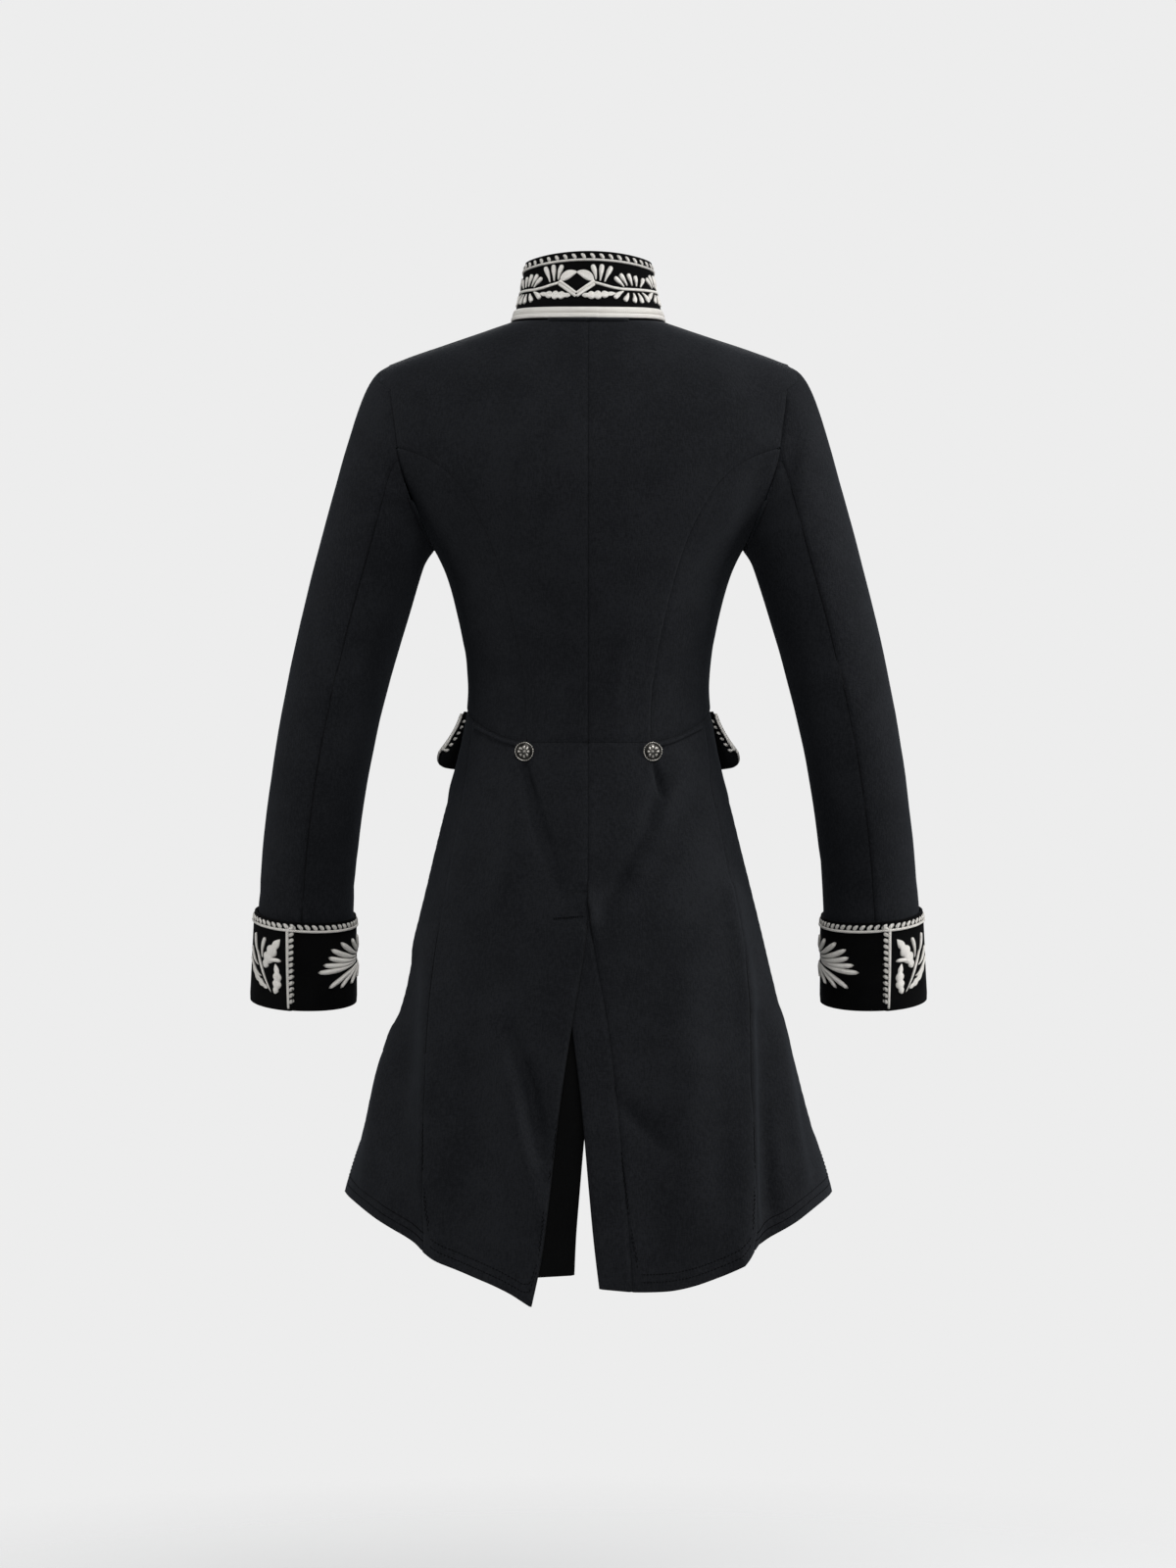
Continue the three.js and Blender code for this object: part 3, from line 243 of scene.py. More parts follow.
# %% Threads side by side
thread, into, out = new_group(
    "laid_thread", {"Pitch": 0.0005, "Slant": 0.7, "Chevron": 1.0}, ("Height", "Shade")
)
where = into.outputs["Place"]
apart = thread.nodes.new("ShaderNodeSeparateXYZ")
thread.links.new(where, apart.inputs[0])
along, across = apart.outputs[0], apart.outputs[1]
kept = into.outputs["Chevron"]
mirrored = maths(thread, "MULTIPLY", maths(thread, "ABSOLUTE", across), kept)
straight = maths(thread, "MULTIPLY", across, maths(thread, "SUBTRACT", 1.0, kept))
side = maths(thread, "ADD", mirrored, straight)
wobble = maths(thread, "MULTIPLY", noise_of(thread, where, 350.0), 0.0006)
run = maths(thread, "ADD", along, maths(thread, "MULTIPLY", side, into.outputs["Slant"]))
turn = maths(thread, "DIVIDE", maths(thread, "ADD", run, wobble), into.outputs["Pitch"])
wave = maths(thread, "ABSOLUTE", maths(thread, "SINE", maths(thread, "MULTIPLY", turn, pi)))
thread.links.new(wave, out.inputs["Height"])
# The shade is painted shade in the gaps between turns, varied by a random wear tone.
worn = maths(thread, "MULTIPLY", noise_of(thread, where, 120.0, 3.0), 0.8)
gaps = maths(thread, "POWER", wave, 0.5)
shade = maths(thread, "MULTIPLY", gaps, maths(thread, "ADD", 0.6, worn))
thread.links.new(shade, out.inputs["Shade"])
print(thread.name, "made of", len(thread.nodes), "nodes")

# %% [markdown]
# ## Finishes
# A material places a group, gives it values, and keeps its own shader. Cloth
# and velvet read Object coordinates, because their fibres have no direction
# that the eye follows. Thread reads a UV map laid out in metres, so its
# stitches run across each leaf whichever way the leaf points.


# %% Build a finish from a group
def colour_ramp(tree, shade, ends, dark, light):
    """A colour that runs from dark to light between two values of a shade."""
    ramp = tree.nodes.new("ShaderNodeValToRGB")
    tree.links.new(shade, ramp.inputs[0])
    for element, position, colour in zip(ramp.color_ramp.elements, ends, (dark, light)):
        element.position = position
        element.color = (*colour, 1)
    return ramp.outputs[0]


def finish(
    name, group, values, dark, light, shader_values, bump,
    reads="Object", shade=(0.3, 0.7), painted_shade=None,
):
    """A material whose colour follows the group's shade, with painted shade mixed in where an
    attribute asks.
    """
    made, tree, shader = new_material(name, shader_values)
    group_node = tree.nodes.new("ShaderNodeGroup")
    group_node.node_tree = group
    for label, value in values.items():
        group_node.inputs[label].default_value = value
    tree.links.new(add_node(tree, "TexCoord", out=reads), group_node.inputs["Place"])
    colour = colour_ramp(tree, group_node.outputs["Shade"], shade, dark, light)
    # Painted shade: a dark colour mixed in by a vertex attribute, at seams and where trimming meets
    # the velvet.
    if painted_shade:
        low = add_node(tree, "Attribute", out="Fac", attribute_name="painted_shade")
        colour = add_node(tree, "MixRGB", (low, colour, (*painted_shade, 1)))
    tree.links.new(colour, shader.inputs["Base Color"])
    height = group_node.outputs["Height"]
    strength, distance = bump
    bumped = {"Strength": strength, "Distance": distance, "Height": height}
    tree.links.new(add_node(tree, "Bump", bumped), shader.inputs["Normal"])
    return made


print("finish maker ready")

# %% Wool and velvet
# Painted shade: a near-black colour mixed into the wool along each sheet's seam edge, and the
# darker end of the painted vent shadow.
PAINTED_SHADE_BLACK = (0.0005, 0.0005, 0.0006)

wool = finish(
    "dark_wool", nap, {"Fibres": 760.0, "Clouds": 30.0},
    (0.0052, 0.0057, 0.0071), (0.0108, 0.0116, 0.0137),
    {"Roughness": 0.85, "Specular IOR Level": 0.1, "Sheen Weight": 0.03,
     "Sheen Roughness": 0.5, "Sheen Tint": (0.75, 0.85, 1, 1)}, (0.6, 0.0006), painted_shade=PAINTED_SHADE_BLACK,
)
# Painted shade: a near-black wool for the vent facing, standing in for the shadow inside the vent.
shaded_wool = finish(
    "vent_painted_shade_wool", nap, {"Fibres": 520.0, "Clouds": 42.0},
    PAINTED_SHADE_BLACK, (0.001, 0.0011, 0.0012),
    {"Roughness": 0.85, "Specular IOR Level": 0.1}, (0.4, 0.0005),
)
velvet = finish(
    "black_velvet", pile, {"Tufts": 900.0}, (0.0012, 0.0012, 0.0013), (0.0028, 0.0028, 0.003),
    {"Roughness": 0.95, "Specular IOR Level": 0.06, "Sheen Weight": 0.02,
     "Sheen Roughness": 0.3, "Sheen Tint": (0.8, 0.85, 1, 1)}, (0.6, 0.0008),
)
print("cloths:", [m.name for m in (wool, shaded_wool, velvet)])


# %% Threads
def silver_thread(name, pitch, slant, chevron, bump, shade, painted_shade):
    """A thread spun with silver, with painted shade between its turns."""
    return finish(
        name, thread, {"Pitch": pitch, "Slant": slant, "Chevron": chevron},
        (0.2, 0.175, 0.14), (0.9, 0.87, 0.82),
        {"Roughness": 0.45, "Metallic": 0.1, "Specular IOR Level": 0.5}, bump, "UV", shade, painted_shade,
    )


# Painted shade: the colours mixed into braid, twist and satin thread low down, where they meet the
# velvet.
BRAID_PAINTED_SHADE = (0.06, 0.052, 0.042)
satin_thread = silver_thread(
    "silver_satin_stitch", 0.00055, 0.7, 1.0, (0.7, 0.0003), (0.1, 0.75), (0.045, 0.038, 0.03)
)
braid_thread = silver_thread(
    "silver_braid_thread", 0.0019, 1.1, 1.0, (1.0, 0.0006), (0.08, 0.62), BRAID_PAINTED_SHADE
)
twist_thread = silver_thread(
    "silver_twist_thread", 0.0021, 1.2, 0.0, (1.0, 0.0008), (0.15, 0.8), BRAID_PAINTED_SHADE
)
black_thread = finish(
    "black_sewing_thread", thread, {"Pitch": 0.0003, "Slant": 0.8, "Chevron": 0.0},
    (0.0004, 0.0004, 0.0005), (0.0012, 0.0013, 0.0015),
    {"Roughness": 0.9, "Specular IOR Level": 0.05}, (0.5, 0.0001),
)
print("threads:", [m.name for m in (satin_thread, braid_thread, twist_thread, black_thread)])

# %% [markdown]
# ## From a plain wall to soft cloth
# Each panel in the frame is a closed wall 2 mm thick. Its outer face alone is
# kept, smoothed by subdivision, creased, and given its thickness back by a
# Solidify modifier. The wall's rim meets its faces at a sharp angle, so the
# faces fall into groups at the sharp edges, and the widest group is the
# outside.


# %% Keep the outer face of a wall
RIM_ANGLE = radians(48)
CORNER_TURN = radians(28)
SAME_PLACE = 1e-6


def face_groups(bm):
    """The mesh's faces in groups that no sharp edge cuts through."""
    left = set(bm.faces)
    groups = []
    while left:
        group = []
        waiting = [left.pop()]
        while waiting:
            face = waiting.pop()
            group.append(face)
            for edge in face.edges:
                if len(edge.link_faces) == 2 and edge.calc_face_angle(9) < RIM_ANGLE:
                    for other in edge.link_faces:
                        if other in left:
                            left.remove(other)
                            waiting.append(other)
        groups.append(group)
    return groups


def merged_copy(node):
    """A CAD panel's mesh with its loose triangles joined, as a new bmesh."""
    bm = bmesh.new()
    bm.from_mesh(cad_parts[node].data)
    bmesh.ops.remove_doubles(bm, verts=bm.verts, dist=SAME_PLACE)
    return bm


def outer_face(node):
    """The outer sheet of a CAD wall, in four-sided faces, as a new bmesh."""
    bm = merged_copy(node)
    groups = sorted(face_groups(bm), key=lambda g: -sum(f.calc_area() for f in g))
    drop = [face for group in groups[1:] for face in group]
    bmesh.ops.delete(bm, geom=drop, context="FACES")
    bmesh.ops.join_triangles(
        bm, faces=bm.faces, angle_face_threshold=radians(40), angle_shape_threshold=radians(100)
    )
    return bm


def keep_corners(bm):
    """Marks the corners of the sheet's outline, so that subdivision leaves them sharp."""
    kept = bm.verts.layers.float.new("crease_vert")
    for v in bm.verts:
        ends = [e.other_vert(v).co - v.co for e in v.link_edges if e.is_boundary]
        if len(ends) == 2 and pi - ends[0].angle(ends[1]) > CORNER_TURN:
            v[kept] = 1.0


def smoothed(bm, name, levels):
    """The sheet divided more finely by a Subdivision Surface, as a bmesh."""
    keep_corners(bm)
    mesh = bpy.data.meshes.new(name)
    bm.to_mesh(mesh)
    bm.free()
    made = new_object(name, mesh)
    finer = made.modifiers.new("finer", "SUBSURF")
    finer.levels = finer.render_levels = levels
    finer.boundary_smooth = "PRESERVE_CORNERS"
    evaluated = made.evaluated_get(bpy.context.evaluated_depsgraph_get())
    fine = bpy.data.meshes.new_from_object(evaluated)
    bm = bmesh.new()
    bm.from_mesh(fine)
    bpy.data.objects.remove(made)
    bpy.data.meshes.remove(mesh)
    bpy.data.meshes.remove(fine)
    return bm


print("rim angle", round(RIM_ANGLE, 2))

# %% [markdown]
# ## Creases
# The real cloth hangs almost smooth, with a few long, soft troughs and ridges:
# below each waist button, down the skirts, at the armholes, at the elbows and
# above the cuffs. Each fold is a short path across the height and width of the
# coat, with a width and a depth, on the back or on the front. A vertex near
# the path moves along its normal, less the farther it is, and the fold fades
# towards its ends. The hidden front gets folds of the same kind.


# %% A soft fold
TURNED_AWAY = -0.15
FADE_WIDTHS = 3


def fold(side, width, depth, *path):
    """A fold in millimetres along x, z, x, z ...: side 1 is the back, -1 the front."""
    points = [Vector((x, z)) / 1000 for x, z in zip(path[::2], path[1::2])]
    lengths = [(b - a).length for a, b in zip(points, points[1:])]
    return side, points, lengths, width / 1000, depth / 1000


def fold_push(one, place, facing):
    """How far a fold moves a point outwards."""
    side, points, lengths, width, depth = one
    if side * facing.y < TURNED_AWAY:
        return 0.0
    flat = Vector((place.x, place.z))
    best, share, whole, run = inf, 0.0, sum(lengths), 0.0
    for a, b, length in zip(points, points[1:], lengths):
        t = max(0.0, min(1.0, (flat - a).dot(b - a) / (length * length)))
        away = (flat - a - (b - a) * t).length
        if away < best:
            best, share = away, (run + t * length) / whole
        run += length
    if best > FADE_WIDTHS * width:
        return 0.0
    return depth * exp(-((best / width) ** 2)) * sin(pi * (0.12 + 0.76 * share)) ** 0.7


def folds(rows):
    """The folds of a table, one from each row."""
    return [fold(*row) for row in rows]


# %% Where the folds lie
SKIRT_FOLDS = folds((
    (1, 9, -2.2, 58.7, -446, 50.9, -485, 36, -524, 22, -566),
    (1, 15, 1.7, 66, -446, 72, -511, 86, -580),
    (1, 3.2, -1.3, -63, -440, -67, -452, -72, -470),
    (1, 3.2, -1.3, 61, -440, 58, -454, 52, -474),
    (1, 9, -1.9, -70, -462, -58, -504, -32, -549, -12, -582),
    (1, 12, 1.8, -92, -440, -70, -490, -45, -534),
    (1, 13, -1.7, -116, -459, -82, -520, -52, -562),
    (1, 12, 2.6, 94, -679, 75, -756, 59, -827, 50, -868),
    (1, 9, -2.2, 72, -698, 55, -750, 45, -812),
    (1, 13, -1.6, 116, -700, 104, -790, 92, -850),
    (1, 10, 2.0, 156, -610, 156, -737, 161, -866),
    (1, 14, -2.6, 176, -640, 182, -740, 188, -836),
    (1, 9, 2.0, 194, -700, 210, -800, 218, -850),
    (1, 9, 2.4, -138, -562, -151, -640, -160, -737, -161, -890),
    (1, 11, -2.6, -166, -690, -169, -780, -172, -868),
    (1, 8, 2.0, -184, -690, -200, -800, -210, -846),
    (1, 9, -1.2, -28, -763, -52, -786, -78, -808),
    (1, 20, 1.6, -96, -650, -104, -760, -110, -880),
    (-1, 16, 2.4, 120, -470, 150, -600, 178, -780),
    (-1, 13, -2.4, 150, -480, 186, -640, 214, -800),
    (-1, 15, 2.2, -118, -480, -146, -610, -170, -780),
    (-1, 14, -2.6, -148, -490, -180, -630, -212, -790),
    (-1, 12, -1.6, 96, -450, 104, -520, 118, -580),
    (-1, 12, -1.4, -98, -448, -110, -530, -122, -590),
))
BODICE_FOLDS = folds((
    (1, 12, -2.6, 178, -158, 170, -180, 158, -205),
    (1, 12, -2.6, -170, -150, -160, -180, -150, -208),
    (1, 9, -0.8, 120, -330, 96, -352, 62, -362),
    (1, 9, -0.8, -118, -322, -90, -350, -60, -358),
    (1, 8, 0.6, 60, -300, 40, -350, 30, -396),
    (1, 8, 0.6, -44, -290, -30, -340, -26, -396),
    (1, 6, -0.6, 14, -330, 18, -380, 20, -410),
    (1, 24, 0.9, 90, -20, 120, -60, 128, -110),
    (1, 24, 0.9, -90, -20, -118, -58, -130, -106),
    (-1, 12, -2.0, 140, -110, 116, -160, 92, -176),
    (-1, 12, -2.0, -140, -108, -118, -150, -90, -172),
    (-1, 10, -1.4, 112, -300, 84, -330, 40, -344),
    (-1, 10, -1.4, -112, -296, -80, -330, -36, -340),
    (-1, 8, 1.1, 108, -352, 78, -366, 30, -370),
    (-1, 8, 1.1, -108, -350, -76, -362, -32, -372),
))
SLEEVE_FOLDS = folds((
    (1, 8, -3.0, 224, -122, 211, -148, 194, -166),
    (1, 8, 2.0, 216, -112, 204, -132, 192, -148),
    (1, 9, -2.4, 212, -187, 190, -190, 168, -208),
    (1, 9, 1.6, 232, -150, 218, -172, 202, -184),
    (1, 10, -2.0, 256, -352, 232, -338, 208, -328),
    (1, 9, 1.4, 262, -378, 238, -364, 214, -352),
    (1, 10, -1.6, 268, -407, 244, -392, 222, -380),
    (1, 9, -1.4, 311, -543, 279, -551, 236, -538),
    (1, 7, -2.2, 322, -566, 286, -574, 238, -560),
    (1, 6, 1.2, 316, -556, 284, -562, 244, -550),
    (1, 12, -1.2, 290, -455, 268, -470, 248, -476),
    (-1, 9, -3.0, 262, -322, 236, -338, 206, -342),
    (-1, 9, 2.2, 268, -350, 240, -364, 214, -366),
    (-1, 9, -2.6, 276, -380, 250, -394, 224, -396),
    (-1, 9, -2.6, 222, -120, 208, -150, 190, -170),
    (-1, 8, -1.8, 306, -540, 276, -552, 240, -556),
    (1, 9, -2.8, -202, -122, -198, -150, -194, -178),
    (1, 8, 1.8, -222, -116, -212, -140, -204, -160),
    (1, 9, -2.2, -214, -196, -192, -192, -170, -206),
    (1, 10, -1.8, -254, -340, -232, -332, -210, -322),
    (1, 9, 1.4, -262, -372, -240, -358, -218, -350),
    (1, 10, -1.8, -272, -414, -246, -396, -226, -388),
    (1, 8, -1.8, -234, -534, -254, -550, -272, -564),
    (1, 8, -2.0, -318, -556, -292, -568, -262, -570),
    (1, 12, -1.2, -292, -470, -270, -484, -250, -488),
    (-1, 9, -2.8, -260, -326, -236, -340, -208, -340),
    (-1, 9, 2.0, -268, -354, -244, -366, -214, -364),
    (-1, 9, -2.4, -278, -388, -250, -398, -226, -392),
    (-1, 9, -2.4, -220, -122, -206, -150, -192, -172),
    (-1, 8, -1.8, -306, -544, -278, -554, -242, -552),
))
print("folds:", len(SKIRT_FOLDS) + len(BODICE_FOLDS) + len(SLEEVE_FOLDS))

# %% [markdown]
# ## Finish a sheet
# At a seam both edges turn in, which shows as a thin dark line with a soft
# shoulder on each side. One narrow band is inset round the sheet, its edge
# sinks and is painted dark, as painted shade in the seam, and it meets the
# edges of the sheets made before it. A very shallow unevenness over the whole
# sheet keeps the light from looking machined. Each finished sheet replaces
# its panel, rides on the coat, and says how large a piece of cloth it was cut
# from.

# %% Make a sheet of cloth
SEAM_SINK = 0.0008
SEAM_WIDTH = 0.0017
SEAM_MEET = 0.0007
SEAM_BAND = 0.0007
SEAM_EASE = 0.35
NEIGHBOUR_PULL = 0.4
CLOTH_THICK = 0.002
VELVET_THICK = 0.0022
sheets = {}
trees = {}
seam_points = []


def add_piece(name, bm, material, node_slot):
    """A bmesh as a finished piece of the coat, smooth, with its material."""
    mesh = bpy.data.meshes.new(name)
    bm.to_mesh(mesh)
    bm.free()
    mesh.materials.append(material)
    mesh.polygons.foreach_set("use_smooth", [True] * len(mesh.polygons))
    piece = new_object(name, mesh)
    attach(piece, "root")
    return piece


def edge_points(bm, parts):
    """Closely spaced points along the sheet's open edge."""
    points = []
    for e in bm.edges:
        if e.is_boundary:
            a, b = (v.co for v in e.verts)
            points.extend(a.lerp(b, k / parts) for k in range(parts))
    return points


def point_tree(points):
    """A tree that finds the nearest of these points."""
    tree = KDTree(len(points))
    for i, point in enumerate(points):
        tree.insert(point, i)
    tree.balance()
    return tree


def edge_outwards(v):
    """The direction out of the sheet, along its surface, at a vertex of its open edge."""
    inner = sum((f.calc_center_median() for f in v.link_faces), Vector()) / len(v.link_faces)
    ends = [e.other_vert(v).co for e in v.link_edges if e.is_boundary]
    if len(ends) != 2:
        return Vector()
    out = (ends[1] - ends[0]).cross(v.normal)
    out.normalize()
    return -out if out.dot(inner - v.co) > 0 else out


def meet_neighbours(bm, reach):
    """Moves the sheet's open edge onto the open edges of sheets made before it."""
    moved = {}
    if seam_points and reach:
        near = point_tree(seam_points)
        for v in (v for v in bm.verts if v.is_boundary):
            point, _, away = near.find(v.co)
            if away < reach:
                moved[v] = (point - v.co) * min(1.0, (reach - away) / (SEAM_EASE * reach))
    for v in bm.verts:
        if v.is_boundary:
            v.co += moved.get(v, Vector())
        else:
            pulls = [moved[o] for o in (e.other_vert(v) for e in v.link_edges) if o in moved]
            if pulls:
                v.co += sum(pulls, Vector()) / len(pulls) * NEIGHBOUR_PULL
    seam_points.extend(edge_points(bm, 5))


def sheet(
    node, flat, held, material=wool, node_slot="wool", folds=(), levels=3, thick=CLOTH_THICK,
    sink=SEAM_SINK, uneven=0.0004, reach=0.003, meet=SEAM_MEET, shape=None, deepen=1.4,
):
    """The finished cloth of one panel."""
    bm = smoothed(outer_face(node), node + "_cloth", levels)
    meet_neighbours(bm, reach)
    if shape:
        shape(bm)
    painted_shade = bm.verts.layers.float.new("painted_shade")
    bmesh.ops.inset_region(
        bm, faces=bm.faces, use_boundary=True, use_even_offset=False, thickness=SEAM_BAND
    )
    bm.normal_update()
    rim = point_tree(edge_points(bm, 4))
    moves = []
    for v in bm.verts:
        push = deepen * sum(fold_push(one, v.co, v.normal) for one in folds)
        push += uneven * noise.noise(v.co * 26) + 1.6 * uneven * noise.noise(v.co * 9)
        # Painted shade: the seam edge is marked to take the material's painted dark colour.
        v[painted_shade] = 1.0 if v.is_boundary else 0.0
        push -= sink * exp(-((rim.find(v.co)[2] / SEAM_WIDTH) ** 2))
        moves.append((v.normal * push, edge_outwards(v) * meet if v.is_boundary else None))
    for v, (push, out) in zip(bm.verts, moves):
        v.co += push if out is None else push + out
    bm.normal_update()
    area = sum(f.calc_area() for f in bm.faces)
    trees[node] = BVHTree.FromBMesh(bm)
    sheets[node] = add_piece(node + "_cloth", bm, material, node_slot)
    wall = sheets[node].modifiers.new("wall", "SOLIDIFY")
    wall.thickness = thick
    wall.offset = -1
    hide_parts(node)
    print(node, "area", round(area, 4), "of", round(flat[0] * flat[1], 4))


print("sheet maker ready")

# %% [markdown]
# ## The body of the coat
# Back, side and front panels are cut nearly flat and stretched lightly over
# the body. The back panels meet at the centre; a curved seam on each side runs
# from the armhole to the waist button.

# %% Bodice
for side in ("left", "right"):
    sheet("back_" + side, (0.2, 0.5), "stretched", folds=BODICE_FOLDS)
    sheet("side_" + side, (0.13, 0.3), "stretched", folds=BODICE_FOLDS)
    sheet("front_" + side, (0.22, 0.45), "stretched", folds=BODICE_FOLDS, levels=2)

# %% [markdown]
# ## The skirts
# The tails and the cutaway fore skirts hang from the waist seam. The left tail
# laps over the right tail's underlap at the back vent, and its own facing is
# turned in behind it.

# %% Skirts
BEHIND, RAY_LENGTH = 0.4, 0.6
CLEARANCE = 0.0007
TUCKED = 0.02
SKIRT_DEEPEN = 3.0


def seen_from_behind(node, x, z):
    """The point of a sheet that shows from behind at this place, or None."""
    return trees[node].ray_cast(Vector((x, BEHIND, z)), Vector((0, -1, 0)), RAY_LENGTH)[0]


def keep_behind(bm):
    """Moves the vent facing back wherever a fold of the tail would reach it."""
    bm.normal_update()
    for v in bm.verts:
        hit = seen_from_behind("tail_left", v.co.x, v.co.z)
        room = CLOTH_THICK + CLEARANCE + (0 if v.normal.y > 0 else CLOTH_THICK)
        if hit is not None:
            v.co.y = min(v.co.y, hit.y - room)


def tuck_top(bm):
    """Carries the underlap's top up behind the seam above the vent."""
    top = max(v.co.z for v in bm.verts)
    for v in bm.verts:
        v.co += Vector((0.0005, -0.002, 0.026)) * max(0.0, (v.co.z - top + TUCKED) / TUCKED)


VENT_FOLDS = {
    "left": fold(1, 8, -1.3, 3, -566, 2, -574, 1, -586),
    "right": fold(1, 8, 1.4, -3, -568, -2, -580, -1, -596),
}
for side in ("left", "right"):
    tail_folds = SKIRT_FOLDS + [VENT_FOLDS[side]]
    sheet("tail_" + side, (0.16, 0.57), "hung", folds=tail_folds, deepen=SKIRT_DEEPEN)
    sheet("fore_skirt_" + side, (0.27, 0.59), "hung", folds=SKIRT_FOLDS, deepen=SKIRT_DEEPEN)
sheet(
    "underlap_right", (0.04, 0.41), "hung", folds=SKIRT_FOLDS, levels=2, reach=0.001,
    shape=tuck_top, deepen=SKIRT_DEEPEN,
)
# The facing takes the near-black wool of painted shade, for the shadow inside the vent.
sheet("vent_facing_left", (0.06, 0.35), "hung", shaded_wool, levels=2, reach=0.0, shape=keep_behind)

# %% [markdown]
# ## The sleeves
# A tailored sleeve has two pieces. Its top sleeve covers the outside of the
# arm, its under sleeve the inside, and the seam between them runs down the
# back of the arm to the cuff.

# %% Sleeves
for side in ("left", "right"):
    for part, flat in (("top_sleeve_", (0.19, 0.65)), ("under_sleeve_", (0.18, 0.55))):
        sheet(part + side, flat, "stretched", folds=SLEEVE_FOLDS, levels=2, deepen=0.8)

# %% [markdown]
# ## Velvet
# Collar, cuffs and pocket flaps are black velvet over a stiff canvas, so they
# keep their shape and have no folds, only a soft unevenness of the pile.

# %% Collar, cuffs and flaps
STIFF = dict(material=velvet, node_slot="velvet", sink=0.0005, uneven=0.0002, reach=0.0)

sheet("collar", (0.47, 0.08), "stretched", thick=0.003, meet=0.0016, **STIFF)
for side in ("left", "right"):
    sheet("cuff_" + side, (0.36, 0.1), "stretched", thick=VELVET_THICK, **STIFF)
    sheet("pocket_flap_" + side, (0.16, 0.07), "laid", thick=VELVET_THICK, **STIFF)

# %% [markdown]
# ## Waist welts
# A narrow strip of cloth is folded over the waist seam on each side of the
# back. It is too small to crease, so a copy of the whole welt, not only of its
# outside, is smoothed.

# %% Welts
for side in ("left", "right"):
    node = "waist_welt_" + side
    bm = merged_copy(node)
    bmesh.ops.join_triangles(
        bm, faces=bm.faces, angle_face_threshold=radians(30), angle_shape_threshold=radians(100)
    )
    welt = add_piece(node + "_cloth", smoothed(bm, node + "_cloth", 2), wool, "wool")
    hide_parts(node)
    print(node, len(welt.data.polygons), "faces")

# %% [markdown]
# ## Lay trimming on a curved surface
# Braid and embroidery are drawn flat, as on a paper pattern, and then wrapped.
# The pattern's first number runs round the piece, its second up from the
# lower edge, both in metres. A wrap looks up the two edges of the piece at an
# angle round its middle, goes the right share of the way between them, and
# shoots a ray inwards to land exactly on the outermost layer of cloth.


# %% A wrap round a piece
NOTHING = 1e-9
RAY_START, RAY_REACH = 0.03, 0.07


def edge_table(node, middle, steps):
    """For each step round the middle, the lowest and the highest point of the sheet."""
    spots = {}
    for v in sheets[node].data.vertices:
        angle = atan2(v.co.x - middle.x, v.co.y - middle.y)
        spots.setdefault(int((angle / (2 * pi)) % 1 * steps), []).append(v.co.copy())
    low = {step: min(places, key=lambda c: c.z) for step, places in spots.items()}
    high = {step: max(places, key=lambda c: c.z) for step, places in spots.items()}
    return soften(low, steps), soften(high, steps)


def soften(table, steps):
    """Each step's point averaged with its neighbours' points."""
    soft = {}
    for step in table:
        near = [table[(step + k) % steps] for k in (-1, 0, 1) if (step + k) % steps in table]
        soft[step] = sum(near, Vector()) / len(near) if len(near) == 3 else table[step]
    return soft


def between(table, angle, steps):
    """A table's point at an angle, between its two nearest steps, or None."""
    spot = (angle / (2 * pi)) % 1 * steps - 0.5
    first = int(spot // 1) % steps
    second = (first + 1) % steps
    if first in table and second in table:
        return table[first].lerp(table[second], spot % 1)
    return table.get(first, table.get(second))


class Wrap:
    """Turns flat pattern places, in metres round and up, into places on a piece."""

    def __init__(self, node, middle, start, turn, steps=120):
        self.tree, self.middle, self.steps = trees[node], Vector(middle), steps
        self.low, self.high = edge_table(node, self.middle, steps)
        self.lengths, self.angles = [], []
        last = None
        for k in range(2 * steps):
            angle = start + turn * pi * k / steps
            here = self.at(angle, 0.5)
            if here is None:
                if last is None:
                    continue
                break
            self.lengths.append(self.lengths[-1] + (here - last).length if last else 0.0)
            self.angles.append(angle)
            last = here
        self.whole = self.lengths[-1]

    def at(self, angle, share):
        """The place at an angle, a share of the way from the lower to the upper edge."""
        low, high = (between(table, angle, self.steps) for table in (self.low, self.high))
        return None if low is None or high is None else low.lerp(high, share)

    def round_at(self, angle):
        """The distance round the piece at an angle."""
        near = min(range(len(self.angles)), key=lambda k: abs(self.angles[k] - angle))
        return self.lengths[near]

    def angle(self, round_it):
        """The angle at a distance round the piece."""
        k = max(1, min(len(self.lengths) - 1, bisect_right(self.lengths, round_it)))
        a, b = self.lengths[k - 1], self.lengths[k]
        share = (round_it - a) / max(b - a, NOTHING)
        return self.angles[k - 1] + share * (self.angles[k] - self.angles[k - 1])

    def rise(self, round_it):
        """The height of the piece at a distance round it."""
        angle = self.angle(round_it)
        return (self.at(angle, 1) - self.at(angle, 0)).length

    def place(self, round_it, up, out, from_top=False):
        """The point of the pattern at these distances, and out from the cloth."""
        angle = self.angle(round_it)
        low, high = self.at(angle, 0), self.at(angle, 1)
        share = up / (high - low).length
        guess = high.lerp(low, share) if from_top else low.lerp(high, share)
        inwards = Vector((self.middle.x - guess.x, self.middle.y - guess.y, 0)).normalized()
        hit, normal, _, _ = self.tree.ray_cast(guess - inwards * RAY_START, inwards, RAY_REACH)
        if hit is None:
            hit, normal, _, _ = self.tree.find_nearest(guess)
        if normal.dot(inwards) > 0:
            normal = -normal
        return hit + normal * out


print("wrap ready")

# %% [markdown]
# ## Two shapes make all of the trimming
# A leaf is padded satin stitch: rounded, pointed at the root, blunt at the
# tip, with its threads across it. It starts as a sphere whose poles become the
# root and the tip. A band is flat, rounded braid, and starts as a grid. Both
# carry a UV map in metres, along first and then across, and carry painted
# shade low down, where they meet the velvet.


